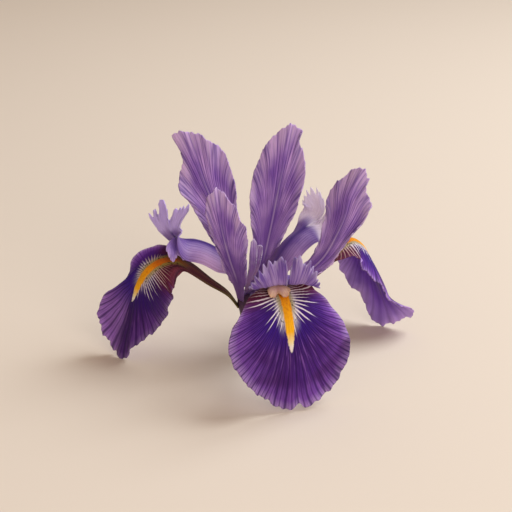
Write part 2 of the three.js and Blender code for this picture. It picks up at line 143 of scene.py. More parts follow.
def measured_curve(points, steps):
    """A centripetal Catmull-Rom curve through the points, with the length run up to each sample."""
    points = [np.array(p, float) for p in points]
    last = len(points) - 1
    samples = []
    for i in range(last):
        before = points[i - 1] if i > 0 else 2 * points[0] - points[1]
        here, there = points[i], points[i + 1]
        after = points[i + 2] if i + 2 <= last else 2 * points[last] - points[last - 1]
        gap_in = np.sum((here - before) ** 2) ** CENTRIPETAL
        gap = np.sum((there - here) ** 2) ** CENTRIPETAL
        gap_out = np.sum((after - there) ** 2) ** CENTRIPETAL
        pull_in = (here - before) / gap_in - (there - before) / (gap_in + gap) + (there - here) / gap
        pull_out = (there - here) / gap - (after - here) / (gap + gap_out) + (after - there) / gap_out
        pull_in, pull_out = pull_in * gap, pull_out * gap
        t = np.linspace(0, 1, steps + 1)[:, None]
        if i < last - 1:
            t = t[:-1]
        rise = -3 * here + 3 * there - 2 * pull_in - pull_out
        turn = 2 * here - 2 * there + pull_in + pull_out
        samples.append(here + pull_in * t + rise * t**2 + turn * t**3)
    samples = np.concatenate(samples)
    run = np.concatenate([[0], np.cumsum(np.linalg.norm(np.diff(samples, axis=0), axis=1))])
    return samples, run


def unit(vectors):
    return vectors / np.linalg.norm(vectors, axis=-1, keepdims=True)


QUARTER_CIRCLE = [(1, 0), (math.sqrt(0.5), math.sqrt(0.5)), (0, 1)]
print("a quarter circle of radius 1 measures", measured_curve(QUARTER_CIRCLE, MARGIN_STEPS)[1][-1])


# %% [markdown]
# The spine carries a small frame along it: which way is along, which way is across and which way
# is out of the petal's upper face. A twist table turns that frame as it goes. A curve object with
# a bevel could carry a petal too, but would not tell us where each vein and margin lies.


# %% Spines
def make_spine(petal):
    """Samples along the petal's middle line, with the directions along and across it."""
    angle = math.radians(petal["azimuth"])
    outward = np.array([math.cos(angle), math.sin(angle), 0])
    sideways = np.array([-math.sin(angle), math.cos(angle), 0])
    upright = np.array([0, 0, 1.0])
    samples, run = measured_curve(
        [out * outward + side * sideways + height * upright for out, side, height in petal["spine"]],
        SPINE_STEPS,
    )
    along = unit(np.gradient(samples, run, axis=0))
    across = np.zeros_like(along)
    carried = sideways
    for i, direction in enumerate(along):
        carried = unit(carried - (carried @ direction) * direction)
        across[i] = carried
    turn = np.radians(table_value(petal.get("twist", ((0, 0), (1, 0))), run / run[-1]))[:, None]
    upward = np.cross(along, across)
    across = across * np.cos(turn) + upward * np.sin(turn)
    return {"samples": samples, "run": run, "length": run[-1], "along": along, "across": across}


def frame_on(spine, length):
    """Place, across and upper side of the spine at each length, straight on past the tip."""

    def read(rows):
        return np.stack([np.interp(length, spine["run"], rows[:, k]) for k in range(3)], -1)

    along = unit(read(spine["along"]))
    past = np.where(length > spine["length"], length - spine["length"], 0)[..., None]
    across = unit(read(spine["across"]))
    return read(spine["samples"]) + along * past, across, np.cross(along, across)


UPRIGHT_PETAL = {"azimuth": 0, "spine": [(0, 0, 0), (0, 0, 5), (0, 0, 10)]}
print("the spine of an upright petal of 10 mm measures", make_spine(UPRIGHT_PETAL)["length"])


# %% [markdown]
# The flat shape is given as its margin, from the tip back to the claw on each side. Every vein
# runs from the top of the claw to its own point on the margin, bowed like the ribs of a fan.
# Real margins are never clean, so a sum of small waves nibbles them, and the crests of the style
# arms are cut into teeth.


# %% Flat petals
NIBBLE_WAVES = (11, 19, 31, 53)
DEEPEST_CUT = 0.85
CUT_NARROWING = 0.5
UNCUT_PART = 0.25


def margin_point(petal, length, t):
    """The end of each vein on the margin; t runs from -1 on the left to 1 on the right."""
    right, right_run = measured_curve([(x, share * length) for x, share in petal["right"]], MARGIN_STEPS)
    left, left_run = measured_curve([(x, share * length) for x, share in petal["left"]], MARGIN_STEPS)
    reach = np.abs(t)
    point = [
        np.where(
            t < 0,
            np.interp(reach * left_run[-1], left_run, left[:, k]),
            np.interp(reach * right_run[-1], right_run, right[:, k]),
        )
        for k in (0, 1)
    ]
    claw = petal["claw"] * length
    fade = np.clip((1 - reach) / UNCUT_PART, 0, 1)
    cut = np.zeros_like(t)
    for place, depth, width in petal.get("notches", ()):
        cut = cut + depth * np.exp(-(((t - place) / width) ** 2))
    if "teeth" in petal:
        depth, count, phase = petal["teeth"]
        turns = t * count + phase + 0.25 * np.sin(7 * t + 5 * phase)
        wave = np.abs((turns % 1) - 0.5) * 2
        uneven = 0.65 + 0.35 * np.sin(13 * t + 7 * phase)
        cut = cut + depth * wave * uneven * fade * (1 - np.clip(cut, 0, 0.5))
    depth, seed = petal.get("nibble", (0.0, 0.0))
    for count in NIBBLE_WAVES:
        cut = cut + depth * fade * (0.5 + 0.5 * np.sin(count * math.pi * t + seed * count))
    cut = np.clip(cut, 0, DEEPEST_CUT)
    return point[0] * (1 - CUT_NARROWING * cut), claw + (point[1] - claw) * (1 - cut)


def flat_petal(petal, length, v, t):
    """Flat place of each grid point, and how far out on the fan it lies (below 0 on the claw)."""
    claw_share = petal["claw"]
    claw = claw_share * length
    left_side, right_side = petal.get("strip_sides", (1, 1))
    side = np.where(t < 0, left_side, right_side)
    strip_part = np.clip(v / claw_share, 0, 1)
    strip_x = t * side * table_value(petal["strip"], strip_part * claw_share)
    claw_width = petal["strip"][-1][1]
    s = np.clip((v - claw_share) / (1 - claw_share), 0, 1)
    start_x = t * side * claw_width
    end_x, end_y = margin_point(petal, length, t)
    bow_across, bow_along = petal["bow"]
    bend_x = start_x + (end_x - start_x) * bow_across
    bend_y = claw + (end_y - claw) * bow_along
    fan_x = (1 - s) ** 2 * start_x + 2 * s * (1 - s) * bend_x + s * s * end_x
    fan_y = (1 - s) ** 2 * claw + 2 * s * (1 - s) * bend_y + s * s * end_y
    on_claw = v < claw_share
    x = np.where(on_claw, strip_x, fan_x)
    y = np.where(on_claw, strip_part * claw, fan_y)
    return x, y, np.where(on_claw, strip_part - 1, s)


# %% [markdown]
# The coloured veins of a fall do not start in the claw. They leave a short line under the signal
# like the barbs of a feather and then run out nearly straight. Hyperbolas do the same: all along
# one of them, the distances to the two ends of the line differ equally. So every point gets the
# turn of its vein, 0 for straight to the tip and half a round for straight back, and its way out
# from the line.

# %% Feather veins
QUILL = (0.42, 0.55)
OUTWARD_BEND = 0.010


def feather(length, x, y):
    """The turn of the vein at each flat place, 0.5 on the midrib, and the way out in mm."""
    start, end = QUILL[0] * length, QUILL[1] * length
    to_start, to_end = np.hypot(x, y - start), np.hypot(x, y - end)
    turn = np.arccos(np.clip((to_start - to_end) / (end - start), -1, 1))
    out = (to_start + to_end - (end - start)) / 2
    turn = turn - OUTWARD_BEND * out * np.sin(turn)
    return np.sign(x) * turn / (2 * math.pi) + 0.5, out


ahead_and_back = feather(60.0, np.array([0.1, 0.1]), np.array([60.0, 0.0]))
print("turns straight to the tip and straight back", ahead_and_back[0])


# %% [markdown]
# Cupping bends the petal across its spine into an arc. Ruffles push its margin up and down: a
# few broad waves, as in the solid, and quicker frills that grow only towards the rim. Low ribs
# run out from the claw like those of a fan, and falls also carry the raised ridge of the signal.

# %% Curved petals
RIDGE_HEIGHT = 0.6
RIDGE_WIDTH = 1.7
VEIN_RIB_HEIGHT = 0.05
RIB_START = 0.1
RIB_FULL = 0.6
SETTLE_START = 0.6
FLATTEST_BEND = 1e-5
CREASE_START = 0.3
CREASE_FULL = 0.6
CREASE_SOFTNESS = 0.6


def curved_petal(petal, v, t):
    """Points of the petal in mm from the axis foot, and their places on the flat petal."""
    spine = make_spine(petal)
    x, y, fan = flat_petal(petal, spine["length"], v, t)
    share = y / spine["length"]
    cup = petal.get("cup", ((0, 0), (1, 0)))
    bend = np.where(
        x < 0,
        table_value(petal.get("cup_left", cup), share),
        table_value(cup, share),
    )
    bend = np.where(np.abs(bend) < FLATTEST_BEND, FLATTEST_BEND, bend)
    across = np.sin(bend * x) / bend
    lift = -(1 - np.cos(bend * x)) / bend
    spread = np.clip(fan, 0, 1)
    for height, waves, phase, power in petal.get("ruffles", ()):
        lift = lift + height * spread**power * np.sin(waves * math.pi * t + phase)
    rib = np.cos(petal["ribs"] * math.pi * t)
    lift = lift + VEIN_RIB_HEIGHT * ease(RIB_START, RIB_FULL, spread) * rib
    fold = petal.get("crease", 0) * ease(CREASE_START, CREASE_FULL, share)
    lift = lift - fold * (np.hypot(x, CREASE_SOFTNESS) - CREASE_SOFTNESS)
    if "ridge" in petal:
        start, end = petal["ridge"]
        hump = np.sin(math.pi * np.clip((share - start) / (end - start), 0, 1))
        lift = lift + RIDGE_HEIGHT * hump * np.exp(-((x / RIDGE_WIDTH) ** 2))
    place, side, upper = frame_on(spine, y)
    points = place + side * across[..., None] + upper * lift[..., None]
    points[..., 2] += petal.get("settle", 0) * ease(SETTLE_START, 1, share)
    return points, {"x": x, "share": share, "fan": fan, "feather": feather(spine["length"], x, y)}


# %% [markdown]
# In Blender a grid is the natural start for a petal: each of its points is moved to its place on
# the curved petal. Three UV maps go with it. "fan" says how far across and how far along the ribs
# a point lies; "blade" holds the flat shape, so the signal can be drawn with its real width; and
# "feather" holds the veins of the falls. Solidify then gives the sheet its thickness, and puts
# the second material, where there is one, on the under side.

# %% Petal meshes
PETAL_THICKNESS = 0.42
UV_WIDTH = 60.0
UV_REACH = 60.0
UV_LENGTH = 0.9


def add_piece(name, sheet, materials):
    """Turn a finished sheet into a smooth object of the scene."""
    for face in sheet.faces:
        face.smooth = True
    mesh = bpy.data.meshes.new(name)
    sheet.to_mesh(mesh)
    sheet.free()
    for material in materials:
        mesh.materials.append(material)
    piece = bpy.data.objects.new(name, mesh)
    bpy.context.scene.collection.objects.link(piece)
    print(name, "has", len(mesh.polygons), "faces")
    return piece


def make_petal(name, petal, grid_size, materials, thickness=PETAL_THICKNESS):
    """Lay a grid of (columns, rows) on the petal's curved form and give it its thickness."""
    sheet = bmesh.new()
    columns, rows = grid_size
    bmesh.ops.create_grid(sheet, x_segments=columns, y_segments=rows, size=1.0)
    sheet.verts.ensure_lookup_table()
    grid = np.array([vertex.co for vertex in sheet.verts])
    t, v = np.clip(grid[:, 0], -1, 1), np.clip((grid[:, 1] + 1) / 2, 0, 1)
    points, places = curved_petal(petal, v, t)
    turn, out = places["feather"]
    maps = {
        "fan": (t / 2 + 0.5, places["fan"] / 2 + 0.5),
        "blade": (places["x"] / UV_WIDTH + 0.5, places["share"] * UV_LENGTH),
        "feather": (turn, out / UV_REACH),
    }
    for vertex, point in zip(sheet.verts, points):
        vertex.co = axis_foot + Vector(point) * MM
    bmesh.ops.reverse_faces(sheet, faces=sheet.faces)
    for label, (across, along) in maps.items():
        layer = sheet.loops.layers.uv.new(label)
        for face in sheet.faces:
            for loop in face.loops:
                loop[layer].uv = (across[loop.vert.index], along[loop.vert.index])
    piece = add_piece(name + "_petal", sheet, materials)
    thick = piece.modifiers.new("thickness", "SOLIDIFY")
    thick.thickness = thickness * MM
    thick.offset = 0.0
    thick.material_offset = len(materials) - 1
    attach(piece, "root")
    if name in solid_names:
        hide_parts(name)


# %% [markdown]
# ## Colour by nodes
# Petal colours are worked out by shader nodes from the three UV maps. Painted pictures could
# carry them too, but nodes stay sharp from close by and need no file. The class below keeps them
# readable: a `Value` is what a node puts out, and sums, products and smooth steps of values add
# the nodes they need. `blend` lays one colour over another, and `make_group` packs a whole
# calculation into a shader group with named sockets that many materials can share.


# %% Node helpers
def srgb(red, green, blue):
    """A colour as a painter's chart gives it, 0 to 255, as Blender's linear values."""
    channels = [value / 255 for value in (red, green, blue)]
    linear = [c / 12.92 if c <= 0.04045 else ((c + 0.055) / 1.055) ** 2.4 for c in channels]
    return (*linear, 1.0)


def plug(tree, socket, source):
    """Feed a socket with a value, a plain number or a colour given as (red, green, blue)."""
    if isinstance(source, Value):
        tree.links.new(source.socket, socket)
    elif isinstance(source, tuple):
        socket.default_value = srgb(*source)
    else:
        socket.default_value = source


def set_inputs(node, settings):
    """Feed the sockets of a node, each named by its label."""
    for label, source in settings.items():
        plug(node.id_data, node.inputs[label], source)


class Value:
    """What a shader node puts out; arithmetic on it adds nodes to its tree."""

    def __init__(self, tree, socket):
        self.tree = tree
        self.socket = socket

    def calc(self, operation, *sources):
        node = self.tree.nodes.new("ShaderNodeMath")
        node.operation = operation
        for socket, source in zip(node.inputs, sources):
            plug(self.tree, socket, source)
        return Value(self.tree, node.outputs[0])

    def __add__(self, other):
        return self.calc("ADD", self, other)

    def __sub__(self, other):
        return self.calc("SUBTRACT", self, other)

    def __rsub__(self, other):
        return self.calc("SUBTRACT", other, self)

    def __mul__(self, other):
        return self.calc("MULTIPLY", self, other)

    def __truediv__(self, other):
        return self.calc("DIVIDE", self, other)

    def __abs__(self):
        return self.calc("ABSOLUTE", self)

    def at_least(self, other):
        return self.calc("MAXIMUM", self, other)

    def up(self, low, high):
        """0 below low, 1 above high, smooth between."""
        node = self.tree.nodes.new("ShaderNodeMapRange")
        node.interpolation_type = "SMOOTHSTEP"
        set_inputs(node, {"Value": self, "From Min": low, "From Max": high})
        return Value(self.tree, node.outputs["Result"])

    def down(self, low, high):
        """1 below low, 0 above high, smooth between."""
        return 1.0 - self.up(low, high)

    def off_middle(self):
        """0 where a value between 0 and 1 is halfway, 1 at both of its ends."""
        return abs(self - 0.5) * 2.0

    def ramp(self, *stops):
        """Colours along the value; each stop is (value, red, green, blue)."""
        node = self.tree.nodes.new("ShaderNodeValToRGB")
        elements = node.color_ramp.elements
        while len(elements) < len(stops):
            elements.new(0.5)
        for element, (place, *colour) in zip(elements, stops):
            element.position = place
            element.color = srgb(*colour)
        set_inputs(node, {"Fac": self})
        return Value(self.tree, node.outputs["Color"])


def blend(factor, first, second):
    """The first colour where the factor is 0, the second where it is 1."""
    node = factor.tree.nodes.new("ShaderNodeMix")
    node.data_type = "RGBA"
    for place, source in ((0, factor), (6, first), (7, second)):
        plug(factor.tree, node.inputs[place], source)
    return Value(factor.tree, node.outputs[2])


def texture(kind, x, y, settings, output):
    """A texture node read at (x, y)."""
    place = x.tree.nodes.new("ShaderNodeCombineXYZ")
    set_inputs(place, {"X": x, "Y": y})
    node = x.tree.nodes.new(kind)
    set_inputs(node, {"Vector": Value(x.tree, place.outputs[0]), **settings})
    return Value(x.tree, node.outputs[output])


def noise(x, y, detail=2.0):
    """Soft clouds between 0 and 1, about one wide for each step of x and of y."""
    return texture("ShaderNodeTexNoise", x, y, {"Scale": 1.0, "Detail": detail}, "Fac")


def uv_axes(tree, layer):
    """The two coordinates of one of the petal's UV maps."""
    source = tree.nodes.new("ShaderNodeUVMap")
    source.uv_map = layer
    split = tree.nodes.new("ShaderNodeSeparateXYZ")
    tree.links.new(source.outputs["UV"], split.inputs[0])
    return Value(tree, split.outputs["X"]), Value(tree, split.outputs["Y"])


def make_group(name, inputs, outputs, build):
    """A shader group; build works out its outputs from its tree and its inputs."""
    group = bpy.data.node_groups.new(name, "ShaderNodeTree")
    for label, value in inputs.items():
        kind = "NodeSocketColor" if isinstance(value, tuple) else "NodeSocketFloat"
        plug(group, group.interface.new_socket(name=label, in_out="INPUT", socket_type=kind), value)
    for label in outputs:
        kind = "NodeSocketColor" if label == "Colour" else "NodeSocketFloat"
        group.interface.new_socket(name=label, in_out="OUTPUT", socket_type=kind)
    given = group.nodes.new("NodeGroupInput").outputs
    results = build(group, {label: Value(group, given[label]) for label in inputs})
    ends = group.nodes.new("NodeGroupOutput").inputs
    for label, result in zip(outputs, results):
        plug(group, ends[label], result)
    print(name, "group with", len(group.nodes), "nodes")
    return group


def use_group(tree, group, settings):
    """Add a shader group and give back what it puts out, by label."""
    node = tree.nodes.new("ShaderNodeGroup")
    node.node_tree = group
    set_inputs(node, settings)
    return {socket.name: Value(tree, socket) for socket in node.outputs}


print("helpers ready, a petal white is", srgb(214, 198, 208))


# %% [markdown]
# ### Places on a petal
# The first group turns the UV maps back into useful numbers: the turn and height on the fan of
# ribs, millimetres from the midrib, the share of the length, and for the feather veins their
# turn, how far out they have run and how far backward they point.


# %% Place group
def work_out_places(tree, given):
    fan_turn, fan_height = uv_axes(tree, "fan")
    flat_x, flat_y = uv_axes(tree, "blade")
    turn, reach = uv_axes(tree, "feather")
    fan = (fan_height - 0.5) * 2.0
    width = (flat_x - 0.5) * UV_WIDTH
    return fan_turn, fan, width, flat_y / UV_LENGTH, turn, reach * UV_REACH, turn.off_middle()


PLACE_LABELS = ("Fan Turn", "Fan", "Width", "Share", "Turn", "Out", "Backward")
place_group = make_group("petal places", {}, PLACE_LABELS, work_out_places)


# %% [markdown]
# ### Veins
# All the petals are veined in the same way: main veins fan out and wander a little, and finer
# ones start between them further out. They hardly stand up from the skin, so colour and a slight
# bump do what modelled threads would. The group puts out the veins, and "Between", which is 0 on
# a main vein and 1 midway to the next, so that rays can be drawn between the veins.


# %% Vein group
DRIFT_ACROSS = 23.0
DRIFT_ALONG = 1.3
FORK_STEP = 0.2
FINE_STRENGTH = 0.75
FINEST_STRENGTH = 0.4


def draw_veins(tree, given):
    across, along = given["Across"], given["Along"]
    drift = (noise(across * DRIFT_ACROSS, along * DRIFT_ALONG) - 0.5) * given["Wander"]
    phase = across * given["Count"] + drift

    def lines(turns):
        between = turns.calc("FRACT", turns).off_middle()
        return between, between.down(0.0, given["Width"])

    later = given["Fork"] + FORK_STEP
    between, main = lines(phase)
    fine = lines(phase * 2.0 + 0.5)[1] * along.up(given["Fork"], later) * FINE_STRENGTH
    finest = lines(phase * 4.0 + 0.5)[1] * along.up(later, 1.0) * FINEST_STRENGTH
    veins = main.at_least(fine).at_least(finest)
    return veins, between, 1.0 - veins


VEIN_LABELS = ("Across", "Along", "Count", "Width", "Fork", "Wander")
vein_settings = dict.fromkeys(VEIN_LABELS, 0.0)
vein_group = make_group("petal veins", vein_settings, ("Veins", "Between", "Relief"), draw_veins)


def add_veins(tree, across, along, count, width, fork, wander):
    values = (across, along, count, width, fork, wander)
    return use_group(tree, vein_group, dict(zip(VEIN_LABELS, values)))


# %% [markdown]
# A petal is thin: light that falls on one side glows through to the other. Each petal material
# therefore mixes the usual Principled shader with a Translucent one, and its veins are pressed
# in with a bump.


# %% Petal surface
BUMP_STRENGTH = 0.8
SHEEN_ROUGHNESS = 0.4


def new_material(name):
    material = bpy.data.materials.new(name)
    material.use_nodes = True
    return material


def finish_petal(material, colour, relief, roughness, see_through, sheen, shine=0.3, press=0.12):
    """Join colour and relief to the shaders; press is the depth of the relief in mm."""
    tree = material.node_tree
    bump = tree.nodes.new("ShaderNodeBump")
    set_inputs(bump, {"Strength": BUMP_STRENGTH, "Distance": press * MM, "Height": relief})
    normal = Value(tree, bump.outputs["Normal"])
    surface = tree.nodes["Principled BSDF"]
    set_inputs(surface, {"Base Color": colour, "Normal": normal, "Roughness": roughness})
    set_inputs(surface, {"Sheen Weight": sheen, "Sheen Roughness": SHEEN_ROUGHNESS})
    set_inputs(surface, {"Specular IOR Level": shine})
    glow = tree.nodes.new("ShaderNodeBsdfTranslucent")
    set_inputs(glow, {"Color": colour, "Normal": normal})
    both = tree.nodes.new("ShaderNodeMixShader")
    set_inputs(both, {"Fac": see_through})
    tree.links.new(surface.outputs[0], both.inputs[1])
    tree.links.new(glow.outputs[0], both.inputs[2])
    tree.links.new(both.outputs[0], tree.nodes["Material Output"].inputs["Surface"])


# %% [markdown]
# ### The claw
# The claw behind the blade of a fall is maroon over a dull middle, on both faces, with olive
# edges low down, and turns green where it grows from the tube.


# %% Claw group
CLAW_STRIPES = dict(count=9.0, width=0.8, fork=2.0, wander=0.4)
CLAW_MAROON = (116, 48, 62)
CLAW_DARK = (52, 16, 38)
CLAW_OLIVE = (128, 122, 64)
CLAW_GREEN = (134, 128, 66)


def colour_claw(tree, given):
    place = use_group(tree, place_group, {})
    off_middle = place["Fan Turn"].off_middle()
    stripes = add_veins(tree, place["Fan Turn"], place["Share"], **CLAW_STRIPES)["Veins"]
    maroon = blend(stripes * 0.8, CLAW_MAROON, CLAW_DARK)
    maroon = blend(off_middle.down(0.06, 0.32) * 0.55, maroon, given["Middle Tint"])
    edges = off_middle.up(0.6, 0.9) * place["Share"].down(0.14, 0.34) * 0.5
    maroon = blend(edges, maroon, CLAW_OLIVE)
    maroon = blend(place["Share"].down(0.03, 0.14) * 0.7, maroon, CLAW_GREEN)
    return (blend(place["Share"].down(0.36, 0.46), given["Colour"], maroon),)


claw_settings = {"Colour": (90, 40, 130), "Middle Tint": (128, 66, 48)}
claw_group = make_group("claw colour", claw_settings, ("Colour",), colour_claw)


# %% [markdown]
# ### The upper face of a fall
# It is velvety purple with fine streaks and patches, bluest just below the signal and lilac at the margin.
# Each half can also take painted shade in a dark tint, and the left fall's lower left lobe takes painted
# light in a light tint. Dark veins run out to the margin like the barbs of a feather.


# %% Velvet
VELVET_PURPLES = (
    (0.0, 62, 18, 104), (0.45, 56, 16, 100), (0.72, 80, 34, 128), (0.9, 124, 74, 172),
    (1.0, 184, 148, 216),
)
STREAK_LILAC = (152, 98, 194)
STREAK_DARK = (56, 18, 96)
PATCH_PLUM = (64, 18, 84)
SIGNAL_FOOT_BLUE = (50, 14, 138)
VEIN_PURPLE = (44, 12, 80)


def velvet(place, left, right, veins, given):
    turn, out = place["Turn"], place["Out"]
    ground = place["Fan"].ramp(*VELVET_PURPLES)
    fibres = noise(turn * 210.0, out * 0.09)
    ground = blend(fibres.up(0.5, 0.72) * out.up(4.0, 14.0) * 0.6, ground, STREAK_LILAC)
    ground = blend(fibres.down(0.3, 0.48) * 0.7, ground, STREAK_DARK)
    patches = noise(turn * 12.0, out * 0.09, 1.0).up(0.52, 0.7)
    ground = blend(patches * 0.65, ground, PATCH_PLUM)
    blue = out.down(6.0, 17.0) * place["Backward"].down(0.14, 0.42) * 0.8
    ground = blend(blue, ground, SIGNAL_FOOT_BLUE)
    # Painted light and shade on the halves: a dark tint paints shade on a half, and the left fall's light
    # tint on its lower left lobe paints light there.
    lobe = left * place["Share"].up(0.6, 0.8)
    ground = blend(lobe * given["Left Painted Light And Shade Weight"], ground, given["Left Painted Light And Shade Tint"])
    ground = blend(right * given["Right Painted Shade Weight"], ground, given["Right Painted Shade Tint"])
    return blend(veins * out.up(2.0, 9.0) * 0.76, ground, VEIN_PURPLE)


# %% [markdown]
# From the line under the signal a white field runs out in rays, which lie between the lines of a
# second, coarser set of veins. Each ray narrows to its own end. Towards the claw the ground
# between the rays turns from violet to maroon.

# %% White rays
RAY_LENGTH = 3.4
RAY_SPREAD = 7.5
SHOULDER_EXTRA = 5.0
RAY_TAPER = 0.68
RAY_CROWDING = 0.42
RAY_GAP = 0.14
RAY_SOFTNESS = 0.26
RAY_WHITE = (236, 224, 238)
RAY_ROSE = (222, 184, 176)
LINE_VIOLET = (62, 24, 96)
LINE_MAROON = (92, 28, 50)


def white_rays(colour, place, between, hidden, rays):
    out, backward = place["Out"], place["Backward"]
    shoulder = backward.up(0.32, 0.52)
    ragged = noise(place["Turn"] * 61.0, 0.3, 1.0).up(0.28, 0.72)
    passed = out / ((ragged * RAY_SPREAD + shoulder * SHOULDER_EXTRA + RAY_LENGTH) * rays)
    edge = passed * RAY_TAPER + backward * RAY_CROWDING + RAY_GAP
    ray = between.up(edge, edge + RAY_SOFTNESS) * passed.down(0.8, 1.15)
    line = blend(shoulder, LINE_VIOLET, LINE_MAROON)
    near = (shoulder * 0.5 + 0.4) * passed.down(0.6, 1.4) * (1.0 - hidden)
    colour = blend(near, colour, line)
    white = blend(backward.up(0.4, 0.62), RAY_WHITE, RAY_ROSE)
    return blend(ray * (0.93 - hidden * out.up(0.5, 2.6)) * rays, colour, white)


# %% [markdown]
# The signal is a raised orange stripe that narrows to a white point. Its edge is greenish and
# peppered with small dark dots, a pale, streaky apron lies round its lower half, and it turns
# rusty where it dives under the style arm.

# %% Signal
SIGNAL_START = 0.3
SIGNAL_BLUNTNESS = 2.1
EDGE_ROUGHNESS = 0.8
SIGNAL_COLOURS = (
    (0.09, 146, 84, 36), (0.39, 206, 106, 18), (0.55, 244, 160, 12),
    (0.8, 252, 184, 28), (0.9, 246, 222, 160), (0.94, 240, 228, 220),
)
RUST = (196, 92, 12)
EDGE_GREEN = (150, 132, 52)
DOT_BROWN = (52, 26, 34)
APRON_WHITE = (238, 230, 232)


def signal(colour, place, given):
    width, share = place["Width"], place["Share"]
    along = (share - SIGNAL_START) / (given["Signal Tip"] - SIGNAL_START)
    begun = along.up(-0.05, 0.2)
    taper = (1.0 - along).at_least(0.0)
    edge = taper.calc("POWER", taper, 0.5) * SIGNAL_BLUNTNESS
    edge = edge.calc("MINIMUM", edge, 1.0) * given["Signal Half Width"]
    rough = noise(width * 1.3, share * 78.0, 3.0)
    off_edge = abs(width) - edge + (rough - 0.5) * EDGE_ROUGHNESS

    streaks = noise(place["Turn"] * 90.0, place["Out"] * 0.3).up(0.3, 0.5)
    apron = off_edge.down(0.2, 3.0) * along.up(0.3, 0.5) * along.down(0.62, 0.86) * streaks
    colour = blend(apron * given["Apron"], colour, APRON_WHITE)
    green = off_edge.down(0.2, 1.9) * along.down(0.55, 0.74) * begun * 0.8
    colour = blend(green, colour, EDGE_GREEN)

    spots = texture("ShaderNodeTexVoronoi", width * 1.15, share * 72.0, {"Scale": 1.0}, "Distance")
    beside = off_edge.up(-0.3, 0.2) * off_edge.down(1.6, 3.0)
    pepper = spots.down(0.22, 0.36) * beside * along.down(0.64, 0.78) * begun * 0.9
    colour = blend(pepper, colour, DOT_BROWN)

    orange = along.ramp(*SIGNAL_COLOURS)
    orange = blend(rough.down(0.35, 0.55) * along.down(0.46, 0.83) * 0.5, orange, RUST)
    stripe = off_edge.down(-0.35, 0.1) * along.down(0.98, 1.02) * begun
    return blend(stripe, colour, orange)


# %% [markdown]
# Velvet, rays, claw and signal together make one group for the upper face. Each fall sets the painted light
# and shade on its two halves, how many veins and rays it has, how clearly the rays show on the whole and on
# its left half, and how wide and how far its signal runs.


# %% Fall face group
VEIN_GROWTH = 22.0
FEATHER_VEINS = dict(fork=0.26, wander=0.7)
HALVES_OVERLAP = 2.5
SHOULDER_ROSE = (122, 44, 66)
SHOULDER_MAROON = (82, 22, 44)


def colour_fall(tree, given):
    place = use_group(tree, place_group, {})
    growth = place["Out"] / VEIN_GROWTH
    veins, coarse_veins = (
        add_veins(tree, place["Turn"], growth, given[count], width=0.4, **FEATHER_VEINS)
        for count in ("Vein Count", "Ray Count")
    )
    left = place["Width"].down(-HALVES_OVERLAP, 0.0)
    colour = velvet(place, left, 1.0 - left, veins["Veins"], given)
    hidden = left * (1.0 - given["Rays Left"])
    shoulder = place["Backward"].up(0.36, 0.52) * place["Out"].down(9.0, 18.0)
    shoulder = shoulder * (given["Maroon"] - hidden).at_least(0.0)
    maroon = blend(veins["Veins"], SHOULDER_ROSE, SHOULDER_MAROON)
    colour = blend(shoulder, colour, maroon)
    colour = white_rays(colour, place, coarse_veins["Between"], hidden, given["Rays"])
    colour = use_group(tree, claw_group, {"Colour": colour})["Colour"]
    return signal(colour, place, given), veins["Relief"]


# The two dark tints are painted shade; each weight stays 0 unless a fall sets it.
FALL_SETTINGS = {
    "Left Painted Light And Shade Tint": (44, 14, 72), "Right Painted Shade Tint": (44, 14, 72), "Left Painted Light And Shade Weight": 0.0, "Right Painted Shade Weight": 0.0,
    "Rays Left": 1.0, "Vein Count": 54.0, "Signal Tip": 0.735, "Signal Half Width": 1.65, "Apron": 0.8,
    "Maroon": 0.85, "Rays": 1.0, "Ray Count": 44.0,
}
fall_group = make_group("fall face", FALL_SETTINGS, ("Colour", "Relief"), colour_fall)


def fall_upper(name, settings):
    material = new_material(name)
    face = use_group(material.node_tree, fall_group, settings)
    look = dict(roughness=0.6, see_through=0.1, sheen=0.06, shine=0.12)
    finish_petal(material, face["Colour"], face["Relief"], **look)
    return material


# %% [markdown]
# The under face is a paler purple on which the veins show only faintly, with a greyish line
# along the midrib.


# %% Under face
UNDER_VEIN_COUNT = 54.0
UNDER_PURPLES = ((0.0, 124, 88, 166), (0.3, 96, 50, 170), (0.7, 142, 88, 222), (1.0, 220, 182, 255))
UNDER_CLOUD = (84, 42, 160)
UNDER_VEIN = (78, 36, 146)
UNDER_MIDRIB = (150, 130, 116)
UNDER_CLAW_MIDDLE = (122, 88, 62)


def fall_under():
    material = new_material("fall under face")
    tree = material.node_tree
    place = use_group(tree, place_group, {})
    growth = place["Out"] / VEIN_GROWTH
    veins = add_veins(tree, place["Turn"], growth, UNDER_VEIN_COUNT, width=0.6, **FEATHER_VEINS)
    colour = place["Fan"].ramp(*UNDER_PURPLES)
    clouds = noise(place["Turn"] * 26.0, place["Out"] * 0.08).up(0.4, 0.7)
    colour = blend(clouds * 0.45, colour, UNDER_CLOUD)
    colour = blend(veins["Veins"] * 0.3, colour, UNDER_VEIN)
    middle = abs(place["Width"]).down(0.2, 1.5) * place["Share"].down(0.7, 0.95) * 0.5
    colour = blend(middle, colour, UNDER_MIDRIB)
    claw_tints = {"Colour": colour, "Middle Tint": UNDER_CLAW_MIDDLE}
    colour = use_group(tree, claw_group, claw_tints)["Colour"]
    look = dict(roughness=0.5, see_through=0.22, sheen=0.08, shine=0.2)
    finish_petal(material, colour, veins["Relief"], **look)
    return material


fall_back = fall_under()
